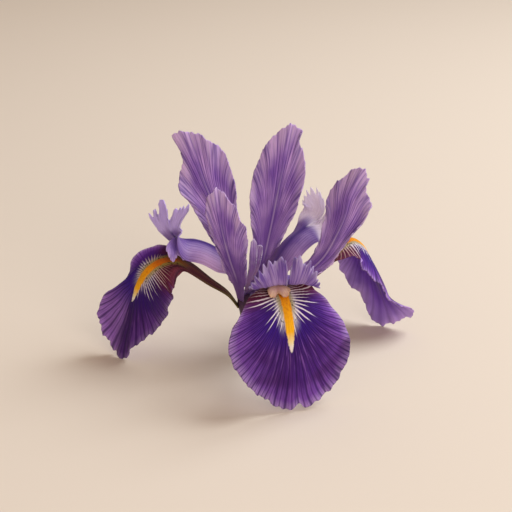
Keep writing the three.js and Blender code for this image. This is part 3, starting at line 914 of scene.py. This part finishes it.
# The front fall gets a little painted shade on both halves. The left fall gets painted light on its far
# lower lobe and painted shade on its near half.
fall_faces = {
    "fall_front": fall_upper(
        "front fall upper face", {"Left Painted Light And Shade Weight": 0.2, "Right Painted Shade Weight": 0.1, "Vein Count": 88.0}
    ),
    "fall_left": fall_upper(
        "left fall upper face",
        {
            "Left Painted Light And Shade Tint": (170, 122, 214), "Left Painted Light And Shade Weight": 0.55, "Right Painted Shade Weight": 0.5, "Rays Left": 0.0,
            "Vein Count": 60.0, "Signal Tip": 0.68, "Signal Half Width": 1.35, "Apron": 0.3, "Maroon": 0.2,
            "Rays": 0.75,
        },
    ),
    "fall_right": fall_upper(
        "right fall upper face", {"Rays Left": 0.75, "Ray Count": 34.0, "Signal Tip": 0.72}
    ),
}
print("fall faces:", [face.name for face in fall_faces.values()])


# %% [markdown]
# ### Standards, style arms, lips and strips
# These petals are thinner and paler: a lilac ground with fine dark veins, darker along the midrib, with
# another tint at the root. Near the margin come painted shade in the pleats of the frills and painted
# highlights on their curls, and a lighter rim, partly the petal's own paler edge and partly a painted
# highlight. One group makes all the finishes. Only the style arms use its skirt, the pink flanks of their
# roof, with a blue line on the ridge, and two of them have a pale crest in place of the painted pleat shade.
# Only the standards show a fine pale line on the midrib.


# %% Pale petal group
PALE_VEINS = dict(width=0.42, fork=0.2, wander=1.1)
RIDGE_BLUE = (76, 44, 136)


def colour_pale(tree, given):
    place = use_group(tree, place_group, {})
    fan_turn, fan, share = place["Fan Turn"], place["Fan"], place["Share"]
    reach = abs(place["Width"])
    veins = add_veins(tree, fan_turn, fan, given["Count"], **PALE_VEINS)

    cloud = noise(place["Width"] * 0.13, share * 4.0).up(0.36, 0.6)
    colour = blend(cloud, given["Light"], given["Ground"])
    fibres = noise(fan_turn * 150.0, fan * 2.6)
    colour = blend(fibres.up(0.5, 0.74) * 0.5, colour, given["Light"])
    colour = blend(fibres.down(0.3, 0.5) * 0.45, colour, given["Vein Tint"])
    colour = blend(veins["Veins"] * given["Strength"], colour, given["Vein Tint"])
    colour = blend(reach.down(0.2, 2.0) * share.down(0.55, 0.95) * 0.55, colour, given["Vein Tint"])
    colour = blend(share.down(0.1, 0.62) * given["Root"], colour, given["Root Tint"])

    roof = share.down(0.6, 0.76) * given["Skirt"]
    flank = reach.up(2.4, 6.4) * share.down(0.42, 0.72) * roof * 0.8
    colour = blend(flank, colour, given["Skirt Tint"])
    colour = blend(reach.down(0.6, 3.0) * roof * 0.55, colour, given["Vein Tint"])
    ridge = reach.down(0.25, 0.8) * share.down(0.7, 0.9) * given["Skirt"] * 0.85
    colour = blend(ridge, colour, RIDGE_BLUE)

    # Pale crest, the arm's own colour; on the right arm it is set paler still as painted light, since that
    # crest is turned from the main lamp.
    colour = blend(fan.up(0.0, 0.35) * given["Crest"], colour, given["Rim Tint"])
    # A lighter rim: partly the margin's own paler colour, partly a painted highlight along the edge.
    colour = blend(fan.up(given["Rim Start"], 1.0) * 0.55, colour, given["Rim Tint"])
    # Painted highlights on the curls of the frills, then painted shade in the pleats between them.
    frill = noise(fan_turn * 84.0, fan * 1.6)
    colour = blend(frill.up(0.5, 0.62) * fan.up(0.72, 0.95) * 0.45, colour, given["Rim Tint"])
    painted_pleat_shade = frill.down(0.36, 0.5) * fan.up(0.5, 0.9) * (1.0 - given["Crest"])
    colour = blend(painted_pleat_shade * 0.6, colour, given["Vein Tint"])
    middle = reach.down(0.12, 0.42) * share.up(0.16, 0.3) * share.down(0.5, 0.8)
    colour = blend(middle * given["Midrib"], colour, given["Rim Tint"])
    return colour, veins["Relief"]


TINTS = ("Light", "Ground", "Vein Tint", "Root Tint", "Rim Tint", "Skirt Tint")
pale_settings = dict.fromkeys(TINTS, (180, 140, 200))
pale_settings.update({
    "Count": 20.0, "Strength": 0.5, "Root": 0.6, "Skirt": 0.0, "Crest": 0.0, "Rim Start": 0.9,
    "Midrib": 0.0,
})
pale_group = make_group("pale petal", pale_settings, ("Colour", "Relief"), colour_pale)


def pale_petal(name, see_through, **settings):
    """A finish of the pale group; a setting such as rim_tint feeds the socket Rim Tint."""
    material = new_material(name)
    settings = {label.replace("_", " ").title(): value for label, value in settings.items()}
    face = use_group(material.node_tree, pale_group, settings)
    look = dict(roughness=0.48, see_through=see_through, sheen=0.12)
    finish_petal(material, face["Colour"], face["Relief"], **look)
    return material


# %% [markdown]
# The finishes differ in their tints, in how many veins they show and how strongly, in their rims
# and crests, and in how much light they let through. A new one is only a new row of settings.

# %% Pale petals
standard_material = pale_petal(
    "standard petal", 0.3, light=(218, 176, 240), ground=(166, 118, 212), vein_tint=(82, 38, 152),
    root_tint=(140, 90, 180), rim_tint=(232, 204, 240), count=34.0, strength=0.72, root=0.5,
    rim_start=0.66, midrib=0.5,
)
STYLE_LOOK = dict(
    light=(184, 154, 212), ground=(144, 108, 190), vein_tint=(94, 56, 158), root_tint=(170, 118, 170),
    skirt_tint=(214, 174, 220), rim_tint=(208, 190, 230), count=18.0, strength=0.5, root=0.55, skirt=1.0,
)
style_material = pale_petal("style arm petal", 0.32, **STYLE_LOOK)
# The right arm's crest is pale of its own and made paler still as painted light, since it is turned from the
# main lamp.
PALE_CREST = {**STYLE_LOOK, "rim_tint": (250, 242, 255), "crest": 0.95, "skirt": 0.4}
pale_crest_material = pale_petal("style arm petal with a pale crest", 0.6, **PALE_CREST)
LEFT_CREST = {**STYLE_LOOK, "rim_tint": (226, 208, 255), "crest": 0.8}
left_style_material = pale_petal("left style arm petal", 0.4, **LEFT_CREST)
style_finishes = {"style_arm_right": pale_crest_material, "style_arm_left": left_style_material}
lip_material = pale_petal(
    "stigma lip", 0.3, light=(250, 224, 216), ground=(236, 196, 196), vein_tint=(196, 140, 166),
    root_tint=(244, 196, 150), rim_tint=(222, 180, 112), rim_start=0.2, count=6.0, strength=0.3, root=0.6,
)
left_lip_material = pale_petal(
    "left stigma lip", 0.12, light=(206, 176, 255), ground=(172, 140, 236), vein_tint=(118, 84, 190),
    root_tint=(150, 112, 200), rim_tint=(236, 204, 255), rim_start=0.5, count=8.0, strength=0.4, root=0.5,
)
# The strips are pale lavender of their own, made whiter still as painted light, since they stand in the
# standards' shadow.
strip_material = pale_petal(
    "strip petal", 0.4, light=(240, 216, 250), ground=(206, 168, 232), vein_tint=(140, 84, 176),
    root_tint=(214, 170, 196), rim_tint=(250, 240, 252), count=5.0, strength=0.55, root=0.5,
)
print("materials so far:", [material.name for material in bpy.data.materials])


# %% [markdown]
# Stamens and tube have no veins, only a fine grain. The tube is green and turns purple at the
# top, where the petals leave it.


# %% Stamens and tube skin
STAMEN_GRAIN = 2600.0
STAMEN_CREAM = (228, 196, 130)
STAMEN_OCHRE = (196, 148, 78)
TUBE_GRAIN = 500.0
TUBE_GREEN = (132, 138, 84)
TUBE_DARK_GREEN = (94, 102, 60)
TUBE_PURPLE = (84, 44, 96)
TUBE_PURPLE_FROM = 16.0
TUBE_PURPLE_FULL = 21.0


def object_grain(tree, scale):
    """Fine noise in the object's own metres, and the height there."""
    place = tree.nodes.new("ShaderNodeTexCoord").outputs["Object"]
    split = tree.nodes.new("ShaderNodeSeparateXYZ")
    tree.links.new(place, split.inputs[0])
    node = tree.nodes.new("ShaderNodeTexNoise")
    set_inputs(node, {"Scale": scale, "Detail": 3.0, "Vector": Value(tree, place)})
    return Value(tree, node.outputs["Fac"]), Value(tree, split.outputs["Z"])


def stamen_finish():
    material = new_material("stamen")
    grain = object_grain(material.node_tree, STAMEN_GRAIN)[0]
    colour = blend(grain.up(0.35, 0.65), STAMEN_CREAM, STAMEN_OCHRE)
    finish_petal(material, colour, grain, roughness=0.8, see_through=0.05, sheen=0.0, press=0.08)
    return material


def tube_finish():
    material = new_material("tube skin")
    grain, height = object_grain(material.node_tree, TUBE_GRAIN)
    green = blend(grain.up(0.35, 0.65), TUBE_GREEN, TUBE_DARK_GREEN)
    purple_from = axis_foot.z + TUBE_PURPLE_FROM * MM
    purple_full = axis_foot.z + TUBE_PURPLE_FULL * MM
    colour = blend(height.up(purple_from, purple_full) * 0.85, green, TUBE_PURPLE)
    finish_petal(material, colour, grain, roughness=0.5, see_through=0.05, sheen=0.0, press=0.04)
    return material


stamen_material = stamen_finish()
tube_material = tube_finish()
print("materials in all:", len(bpy.data.materials))

# %% [markdown]
# ## The falls, laid out
# Each row of a spine is (outward, sideways, height) in millimetres, root first. The side tables
# give the flat margin from the tip back to the claw as (across, share of the length). No two
# falls of a bloom are alike, so each has its own tables, and only what all three share is written
# once.

# %% Falls
FALL_GRID = (200, 90)
ALL_FALLS = dict(bow=(0.12, 0.75), ribs=26)
FALLS = {
    "fall_front": dict(
        azimuth=-70,
        spine=[
            (3.1, 0, 22), (12.7, -0.3, 28.6), (22.2, -0.5, 35.7), (28.5, -0.7, 40.2), (33.7, -0.9, 43.1),
            (38.6, -0.7, 41.1), (41.5, -0.1, 34.3), (43.2, 0.2, 25.9), (43.8, 0.4, 13.9), (43.7, 0.2, 1.0),
        ],
        claw=0.33,
        strip=[(0, 2.0), (0.33, 3.5)],
        right=[
            (0, 1), (5.2, 0.99), (10.8, 0.97), (16, 0.93), (19.8, 0.87),
            (22.4, 0.79), (21, 0.67), (15.6, 0.56), (9.4, 0.45), (4.6, 0.36),
        ],
        left=[
            (0, 1), (-6, 0.97), (-11.6, 0.91), (-16.6, 0.84), (-20, 0.77),
            (-21.4, 0.68), (-18.8, 0.58), (-13.2, 0.5), (-7.6, 0.42), (-4.6, 0.36),
        ],
        cup=[(0, 0.1), (0.3, 0.04), (0.42, 0.02), (0.55, 0.015), (0.7, 0.008), (1, -0.002)],
        ruffles=[(0.9, 5, 0.4, 3), (0.35, 17, 1.0, 8), (0.2, 29, 0.3, 12)],
        notches=[(0.03, 0.04, 0.02), (-0.13, 0.02, 0.02)],
        nibble=(0.008, 1.3),
        ridge=(0.3, 0.66),
        settle=-0.14,
    ),
    "fall_left": dict(
        azimuth=184,
        spine=[
            (3.1, 0, 22), (6.8, 0.5, 27.3), (13.2, 0.6, 32.2), (20.3, 0.6, 37.8), (25.5, 1.2, 40.9),
            (31.6, 1.8, 39.8), (36.3, 2.5, 36.0), (40.5, 1.2, 27.0), (43.0, 0, 18.3), (45.7, -2.2, 8.5),
            (47.9, -4.4, 0.9),
        ],
        claw=0.3,
        strip=[(0, 2.0), (0.3, 3.5)],
        right=[
            (0, 1), (3.4, 0.995), (5.0, 0.965), (4.6, 0.93), (5.8, 0.9), (9, 0.83), (12, 0.75),
            (15, 0.65), (14.8, 0.54), (12, 0.42), (8, 0.36), (4.6, 0.33),
        ],
        left=[
            (0, 1), (-3.8, 1), (-5.5, 0.975), (-8, 0.96), (-11.6, 0.91), (-13.6, 0.85), (-13.6, 0.78),
            (-12, 0.72), (-8.6, 0.67), (-7.6, 0.62), (-8.4, 0.55), (-8.6, 0.49), (-7, 0.42), (-4.6, 0.33),
        ],
        twist=[(0, 0), (0.33, -10), (0.55, -35), (0.8, -42), (1, -50)],
        cup=[(0, 0.1), (0.3, 0.04), (0.42, 0.02), (0.6, 0.03), (0.8, 0.03), (1, 0.02)],
        cup_left=[(0, 0.1), (0.3, 0.03), (0.42, 0), (0.6, 0.015), (0.8, 0.01), (1, -0.02)],
        ruffles=[(1.3, 4, 0, 3), (0.4, 13, 0.6, 7), (0.2, 27, 0.3, 12)],
        nibble=(0.012, 2.1),
        ridge=(0.28, 0.64),
    ),
    "fall_right": dict(
        azimuth=27,
        spine=[
            (3.1, 0, 22), (14.7, -1.9, 25.8), (27.0, -1.4, 31.2), (34.8, -0.9, 36.4), (39.6, 0, 38.8),
            (43.9, 0.1, 39.6), (48.4, 0, 36.4), (52.1, -0.2, 30.1), (55.3, -0.7, 21.5), (58.2, -1.6, 12.4),
            (61.0, -3.0, 2.3),
        ],
        claw=0.36,
        strip=[(0, 2.0), (0.36, 3.5)],
        right=[
            (0, 1), (4.5, 1), (7.4, 0.965), (9, 0.9), (13, 0.82),
            (16, 0.73), (16.4, 0.64), (14, 0.54), (10, 0.45), (4.6, 0.39),
        ],
        left=[
            (0, 1), (-4.5, 0.99), (-9.6, 0.97), (-13, 0.9), (-13.6, 0.8),
            (-13, 0.7), (-12.6, 0.62), (-11.4, 0.53), (-8, 0.45), (-4.6, 0.39),
        ],
        twist=[(0, 0), (0.55, 10), (0.8, -4), (1, -48)],
        cup=[(0, 0.1), (0.3, 0.06), (0.42, 0.07), (0.62, 0.075), (0.78, 0.06), (0.9, 0.005), (1, -0.03)],
        ruffles=[(0.6, 4, 1, 3), (0.35, 15, 0.2, 7), (0.2, 27, 0.9, 12)],
        nibble=(0.010, 0.4),
        ridge=(0.36, 0.68),
        settle=-0.59,
    ),
}
for name, petal in FALLS.items():
    make_petal(name, {**ALL_FALLS, **petal}, FALL_GRID, [fall_faces[name], fall_back])

# %% [markdown]
# ## The standards
# Four narrow petals stand up round the middle. Their margins are ruffled more than those of the
# falls, and their inner side is hollow, so the cup values are below zero.

# %% Standards
STANDARD_GRID = (130, 80)
ALL_STANDARDS = dict(bow=(0.2, 0.7), cup=[(0, -0.1), (0.4, -0.05), (1, -0.01)])
STANDARDS = {
    "standard_back": dict(
        azimuth=60,
        spine=[
            (3.3, 0.3, 25.2), (11.6, 0.3, 33.2), (16.7, 0.2, 43.4), (19.5, -1.8, 59.8), (21.3, -4.0, 75.6),
            (22.3, -5.4, 86.8),
        ],
        claw=0.16,
        strip=[(0, 1.5), (0.16, 2.0)],
        right=[
            (0, 1.01), (1.8, 0.975), (3.8, 0.94), (6.0, 0.9), (7.6, 0.86), (8.6, 0.79),
            (10.2, 0.68), (9.6, 0.54), (7.4, 0.4), (5, 0.28), (2.8, 0.19),
        ],
        left=[
            (0, 1.01), (-1.8, 0.98), (-4.8, 0.965), (-3.8, 0.93), (-5.0, 0.88), (-7.8, 0.79), (-8.8, 0.71),
            (-8.4, 0.6), (-8.2, 0.52), (-6.2, 0.42), (-4.4, 0.3), (-2.8, 0.19),
        ],
        twist=[(0, 0), (0.3, 20), (1, 30)],
        ruffles=[(1.2, 3.5, 0.6, 2), (0.8, 11, 0.5, 4), (0.35, 29, 0.8, 7)],
        nibble=(0.01, 0.7),
        ribs=34,
    ),
    "standard_left_back": dict(
        azimuth=135,
        spine=[
            (3.2, 0, 25), (7.2, -2.7, 33.7), (12.8, -2.1, 45.2), (17.6, -0.8, 55.9),
            (20.8, 1.0, 64.3), (23.9, 2.7, 74.2), (27.4, 4.5, 84.0),
        ],
        claw=0.16,
        strip=[(0, 1.5), (0.16, 2.0)],
        right=[
            (0, 1), (2.0, 1.01), (3.6, 1.01), (4.8, 0.99), (4.6, 0.945), (4.2, 0.9), (4.8, 0.83),
            (7.8, 0.765), (9.4, 0.69), (8, 0.63), (7.4, 0.53), (6.4, 0.43), (5.4, 0.34), (2.8, 0.19),
        ],
        left=[
            (0, 1), (-2.4, 0.98), (-5.0, 0.94), (-8.2, 0.88), (-10.6, 0.81), (-11, 0.73),
            (-10.6, 0.63), (-8.2, 0.52), (-5.6, 0.39), (-4, 0.28), (-2.8, 0.19),
        ],
        twist=[(0, 0), (0.3, -35), (1, -45)],
        ruffles=[(1.4, 3.5, 2.2, 2), (0.8, 10, 0.1, 4), (0.35, 27, 0.8, 7)],
        nibble=(0.011, 1.9),
        ribs=34,
    ),
    "standard_left_front": dict(
        azimuth=225,
        spine=[
            (3.2, 0, 25), (6.4, 2.1, 32.9), (11.1, 3.0, 43.8), (14.5, 3.2, 54.1), (16.6, 3.2, 64.4),
            (17.1, 2.7, 71.9),
        ],
        claw=0.14,
        strip=[(0, 1.5), (0.14, 2.0)],
        right=[
            (0, 1), (2.2, 0.965), (5.8, 0.86), (7, 0.78), (8.4, 0.66),
            (7.4, 0.52), (6, 0.43), (5, 0.33), (3.8, 0.22), (2.6, 0.17),
        ],
        left=[
            (0, 1), (-2.8, 0.965), (-3.9, 0.9), (-4.3, 0.77), (-4.1, 0.62), (-3.4, 0.45), (-2.8, 0.3),
            (-2.4, 0.17),
        ],
        twist=[(0, 0), (0.3, 35), (1, 40)],
        cup=[(0, -0.1), (0.4, -0.04), (1, -0.01)],
        ruffles=[(0.9, 3.5, 1, 2), (0.7, 11, 0.1, 4), (0.35, 29, 0.8, 7)],
        nibble=(0.01, 2.6),
        ribs=30,
    ),
    "standard_right": dict(
        azimuth=-15,
        spine=[
            (3.2, 0, 25), (12.3, 0.2, 29.3), (20.6, 0.4, 35.6), (27.7, 2.2, 42.9), (31.7, 4.4, 50.8),
            (34.0, 6.0, 57.1), (35.4, 7.4, 63.8), (38.0, 9.2, 70.1), (40.7, 10.9, 74.5),
        ],
        claw=0.26,
        strip=[(0, 1.5), (0.26, 2.2)],
        right=[
            (0, 1), (3.6, 0.965), (5.8, 0.9), (7.6, 0.85), (9, 0.8), (8.6, 0.73), (6.4, 0.62), (4.6, 0.5),
            (4, 0.4), (3, 0.3),
        ],
        left=[
            (0, 1), (-2.4, 0.97), (-3.6, 0.91), (-5.6, 0.87), (-8, 0.825), (-7.6, 0.76),
            (-6.4, 0.7), (-4.8, 0.62), (-3.6, 0.5), (-3.2, 0.4), (-3, 0.3),
        ],
        twist=[(0, 10), (0.3, 60), (1, 72)],
        cup=[(0, -0.1), (0.4, -0.05), (1, -0.03)],
        crease=0.28,
        ruffles=[(1.1, 3.5, 1, 2), (0.65, 11, 0.4, 4), (0.35, 29, 0.2, 7)],
        nibble=(0.011, 0.2),
        ribs=30,
    ),
}
for name, petal in STANDARDS.items():
    make_petal(name, {**ALL_STANDARDS, **petal}, STANDARD_GRID, [standard_material])

# %% [markdown]
# ## The style arms
# A style arm is a roof over the claw of its fall. Past the roof it splits into a crest of two
# fringed lobes. They could be cut out with a boolean, but here notches and teeth just shorten the
# veins that end there, which keeps the grid whole.

# %% Style arms
STYLE_GRID = (180, 80)
ALL_STYLE_ARMS = dict(
    bow=(0.35, 0.5),
    ruffles=[(0.6, 5, 0.4, 2), (0.4, 13, 0.1, 4)],
    ribs=20,
)
STYLE_ARMS = {
    "style_arm_front": dict(
        azimuth=-76,
        spine=[
            (1.6, 0, 27.2), (8.7, 2.0, 32.7), (16.2, 3.0, 38.0), (22.6, 3.8, 42.0),
            (29.8, 3.9, 45.5), (35.0, 4.2, 46.2), (38.6, 4.2, 46.0), (40.4, 4.2, 48.6), (40.6, 4.3, 57.8),
        ],
        claw=0.64,
        strip=[(0, 1.0), (0.42, 6.5), (0.64, 6.5)],
        right=[
            (0, 0.86), (1.2, 0.96), (3.2, 1.0), (6.6, 0.97), (9.4, 0.9), (11.2, 0.81), (11.0, 0.72),
            (6.8, 0.65),
        ],
        left=[
            (0, 0.86), (-1.4, 0.98), (-4.4, 1.0), (-8.8, 0.95), (-12, 0.87), (-13.2, 0.78), (-11.4, 0.7),
            (-6.8, 0.65),
        ],
        cup=[(0, 0.15), (0.5, 0.12), (0.66, 0.03), (1, -0.02)],
        notches=[(0, 0.55, 0.09), (-0.3, 0.12, 0.03), (0.34, 0.14, 0.03), (0.62, 0.1, 0.03)],
        teeth=(0.17, 15.5, 0.2),
        nibble=(0.018, 0.9),
    ),
    "style_arm_left": dict(
        azimuth=178,
        spine=[
            (1.6, 0, 27.2), (3.8, 0.1, 38.1), (12.3, -0.1, 44.6), (17.3, 0.1, 46.6),
            (22.0, 0.3, 47.4), (25.6, 0.3, 48.8), (27.4, 0.4, 52.8), (27.6, 0.4, 61.0),
        ],
        claw=0.76,
        strip=[(0, 1.0), (0.36, 9.0), (0.68, 9.4), (0.76, 6.6)],
        strip_sides=(0.7, 1),
        right=[
            (0, 0.88), (1.6, 0.91), (2.6, 0.97), (5.2, 1.0), (9.0, 1.03), (6.8, 0.93), (6.0, 0.86),
            (6.4, 0.78),
        ],
        left=[
            (0, 0.88), (-0.2, 0.97), (-1.4, 1.03), (-3.8, 1.02), (-4.4, 0.94), (-4.8, 0.9), (-6.2, 0.96),
            (-6.2, 0.88), (-8.4, 0.9), (-6.4, 0.82), (-4.6, 0.78),
        ],
        twist=[(0, 0), (0.6, 0), (0.8, 55), (1, 60)],
        cup=[(0, 0.15), (0.62, 0.14), (0.76, 0.05), (1, -0.01)],
        teeth=(0.17, 15.5, 0.3),
        nibble=(0.016, 1.4),
        ruffles=[(0.5, 4, 0.4, 2), (0.3, 13, 0.1, 4)],
    ),
    "style_arm_right": dict(
        azimuth=35,
        spine=[
            (1.6, 0, 27.2), (8.9, -3.2, 36.3), (17.4, -1.8, 43.3), (26.3, -1.4, 47.4),
            (31.2, -1.1, 48.2), (33.6, -1.5, 50.6), (34.4, -1.5, 54.3), (33.7, -1.0, 59.8),
        ],
        claw=0.62,
        strip=[(0, 1.0), (0.36, 7.5), (0.62, 7.5)],
        strip_sides=(1, 0.6),
        right=[
            (0, 0.87), (1.0, 0.97), (3.4, 1.05), (6.4, 1.03), (8.6, 0.95), (9.0, 0.84), (7.6, 0.73),
            (4.8, 0.64),
        ],
        left=[
            (0, 0.87), (-1.4, 0.95), (-4.8, 0.95), (-8.4, 0.87), (-10, 0.78), (-9.8, 0.7), (-7.8, 0.64),
        ],
        twist=[(0, 0), (0.55, 0), (0.75, 50), (1, 50)],
        cup=[(0, 0.15), (0.55, 0.14), (0.7, 0.04), (1, -0.01)],
        notches=[(0, 0.5, 0.08)],
        teeth=(0.17, 15.5, 0.6),
        nibble=(0.016, 2.2),
    ),
}
for name, petal in STYLE_ARMS.items():
    finish = style_finishes.get(name, style_material)
    make_petal(name, {**ALL_STYLE_ARMS, **petal}, STYLE_GRID, [finish])

# %% [markdown]
# Under the end of a style arm's roof hangs the stigma, a small lip that catches the pollen. The
# front and left arms show theirs, so these two are made, as short blades of their own: the front
# one is pinker than its arm, and the left one is lilac and turned to hang beside its arm.

# %% Stigma lips
LIP_GRID = (40, 30)
LIP_SHAPE = dict(
    claw=0.2,
    strip=[(0, 2.2), (0.2, 2.6)],
    right=[(0, 1), (1.6, 1.02), (3.4, 0.86), (3.9, 0.5), (2.8, 0.22)],
    left=[(0, 1), (-1.8, 1.04), (-3.3, 0.9), (-3.8, 0.5), (-2.8, 0.22)],
    bow=(0.5, 0.5),
    notches=[(0, 0.3, 0.16)],
    ruffles=[(0.5, 3, 0.4, 2)],
    nibble=(0.05, 0.4),
    ribs=8,
)
FRONT_LIP = [(36.0, 1.8, 45.0), (38.4, 1.5, 44.2), (40.2, 1.2, 41.8)]
LEFT_LIP = [(23.9, 1.0, 47.4), (24.6, 4.4, 45.6), (23.2, 7.6, 41.0)]
LIPS = {
    "style_arm_front": (-76, 0, FRONT_LIP, lip_material),
    "style_arm_left": (178, 80, LEFT_LIP, left_lip_material),
}
for name, (azimuth, turn, spine, finish) in LIPS.items():
    petal = dict(LIP_SHAPE, azimuth=azimuth, spine=spine, twist=[(0, turn), (1, turn)])
    make_petal(name + "_lip", petal, LIP_GRID, [finish])

# %% [markdown]
# ## Stamens and central strips
# The small parts in the middle are narrow blades made in the same way. Their two sides are alike,
# so only the right one is written down, and a helper turns it over into the left one.


# %% Stamens and strips
def both_sides(right):
    return {"right": right, "left": [(-across, share) for across, share in right]}


STAMEN_GRID = (12, 60)
STAMEN_THICKNESS = 0.9
STAMEN_SHAPE = dict(
    **both_sides([(0, 1), (0.7, 0.97), (1.2, 0.85), (1.3, 0.65), (0.6, 0.53)]),
    claw=0.5,
    strip=[(0, 0.35), (0.5, 0.5)],
    bow=(0.5, 0.5),
    ribs=2,
)
STAMENS = {
    "stamen_front": (-72, [(2.8, 0, 24.6), (8.2, 0.6, 29.2), (15, 1.2, 34), (21, 1.5, 38)]),
    "stamen_left": (181, [(2.9, 0, 24.6), (5.0, 0.3, 33), (11, 0.5, 39.3), (17.5, 0.6, 42.8)]),
    "stamen_right": (22, [(2.8, 0.1, 25.0), (8.5, -1.0, 31.5), (15.8, 1.4, 38.2), (22.7, 2.8, 42.4)]),
}
for name, (azimuth, spine) in STAMENS.items():
    petal = dict(STAMEN_SHAPE, azimuth=azimuth, spine=spine)
    make_petal(name, petal, STAMEN_GRID, [stamen_material], STAMEN_THICKNESS)

STRIP_GRID = (16, 60)
STRIP_SHAPE = dict(
    **both_sides([(0, 1), (0.9, 0.95), (1.3, 0.8), (1.2, 0.5), (0.9, 0.23)]),
    claw=0.2,
    strip=[(0, 0.6), (0.2, 0.8)],
    bow=(0.5, 0.5),
    ruffles=[(0.3, 3, 0.4, 2)],
    nibble=(0.02, 0.5),
    ribs=6,
)
STRIPS = {
    "central_strip_tall": (100, [(2.3, 0, 26.2), (3.0, -2.6, 36), (4.2, -3.4, 47)]),
    "central_strip_curled": (90, [(4.3, -2.1, 30.2), (5.8, -3.6, 36), (6.8, -4.6, 41.5), (5.8, -5.2, 43.6)]),
}
for name, (azimuth, spine) in STRIPS.items():
    petal = dict(STRIP_SHAPE, azimuth=azimuth, spine=spine)
    make_petal(name, petal, STRIP_GRID, [strip_material])

# %% [markdown]
# ## The tube
# All the petals grow from the top of a short tube with the swollen green ovary at its foot. A
# Screw modifier could spin it from a curve. A grid rolled up about the flower's axis gives the
# same round form with no curve to keep, and the profile gives (radius, height) from the cut end
# to the top.

# %% Tube
TUBE_PROFILE = [
    (0, 9.0), (2.3, 9.0), (3.0, 11.5), (3.1, 14.0), (2.4, 17.5), (2.7, 20.0),
    (3.3, 22.2), (3.3, 24.6), (2.7, 26.2), (1.6, 27.2), (0, 27.5),
]
TUBE_SIDES = 36
TUBE_RINGS = 40
SEAM_GAP = 1e-6


def make_tube():
    """Roll a grid up: x goes round the axis, y climbs the profile."""
    sheet = bmesh.new()
    bmesh.ops.create_grid(sheet, x_segments=TUBE_SIDES, y_segments=TUBE_RINGS, size=1.0)
    profile, run = measured_curve(TUBE_PROFILE, MARGIN_STEPS)
    for vertex in sheet.verts:
        angle = math.pi * vertex.co.x
        length = (vertex.co.y + 1) / 2 * run[-1]
        radius = max(np.interp(length, run, profile[:, 0]), 0)
        height = np.interp(length, run, profile[:, 1])
        place = Vector((radius * math.cos(angle), radius * math.sin(angle), height))
        vertex.co = axis_foot + place * MM
    bmesh.ops.remove_doubles(sheet, verts=sheet.verts, dist=SEAM_GAP)
    bmesh.ops.recalc_face_normals(sheet, faces=sheet.faces)
    tube = add_piece("tube_skin", sheet, [tube_material])
    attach(tube, "root")
    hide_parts("perianth_tube")


make_tube()

# %% [markdown]
# ## Floor
# The bloom stands on a matt, cream sheet that reaches past the edge of the view. It is only part of the set.

# %% Floor
FLOOR_HALF_WIDTH = 4.0
FLOOR_CREAM = (218, 204, 190)
floor_material = new_material("cream sheet")
set_inputs(
    floor_material.node_tree.nodes["Principled BSDF"],
    {"Base Color": FLOOR_CREAM, "Roughness": 0.9, "Specular IOR Level": 0.1},
)
floor_sheet = bmesh.new()
bmesh.ops.create_grid(floor_sheet, x_segments=1, y_segments=1, size=FLOOR_HALF_WIDTH)
floor = add_piece("floor", floor_sheet, [floor_material])


# %% [markdown]
# ## Light
# A broad, slightly cool light stands high behind the right shoulder of the flower, so that
# shadows fall softly to the front left. A weaker, warm one in front on the right lights the faces
# of the petals, and a dim, warm sky fills in the rest. Places are metres from where the camera
# looks.


# %% Lights
SKY_TINT = (1.0, 0.8, 0.62, 1.0)
SKY_STRENGTH = 0.42


def soft_light(name, size, power, place, tint):
    data = bpy.data.lights.new(name, "AREA")
    data.shape = "DISK"
    data.size = size
    data.energy = power
    data.color = tint
    light = bpy.data.objects.new(name, data)
    light.location = LOOK_AT + Vector(place)
    light.rotation_euler = (-Vector(place)).to_track_quat("-Z", "Y").to_euler()
    bpy.context.scene.collection.objects.link(light)


soft_light("window", size=1.05, power=16.5, place=(0.72, 0.24, 0.98), tint=(0.86, 0.94, 1.0))
soft_light("fill", size=0.8, power=6.0, place=(0.45, -1.05, 0.45), tint=(1.0, 0.92, 0.86))
world = bpy.data.worlds.new("room")
world.use_nodes = True
sky = world.node_tree.nodes["Background"]
sky.inputs["Color"].default_value = SKY_TINT
sky.inputs["Strength"].default_value = SKY_STRENGTH
bpy.context.scene.world = world
bpy.context.scene.view_settings.view_transform = "Standard"
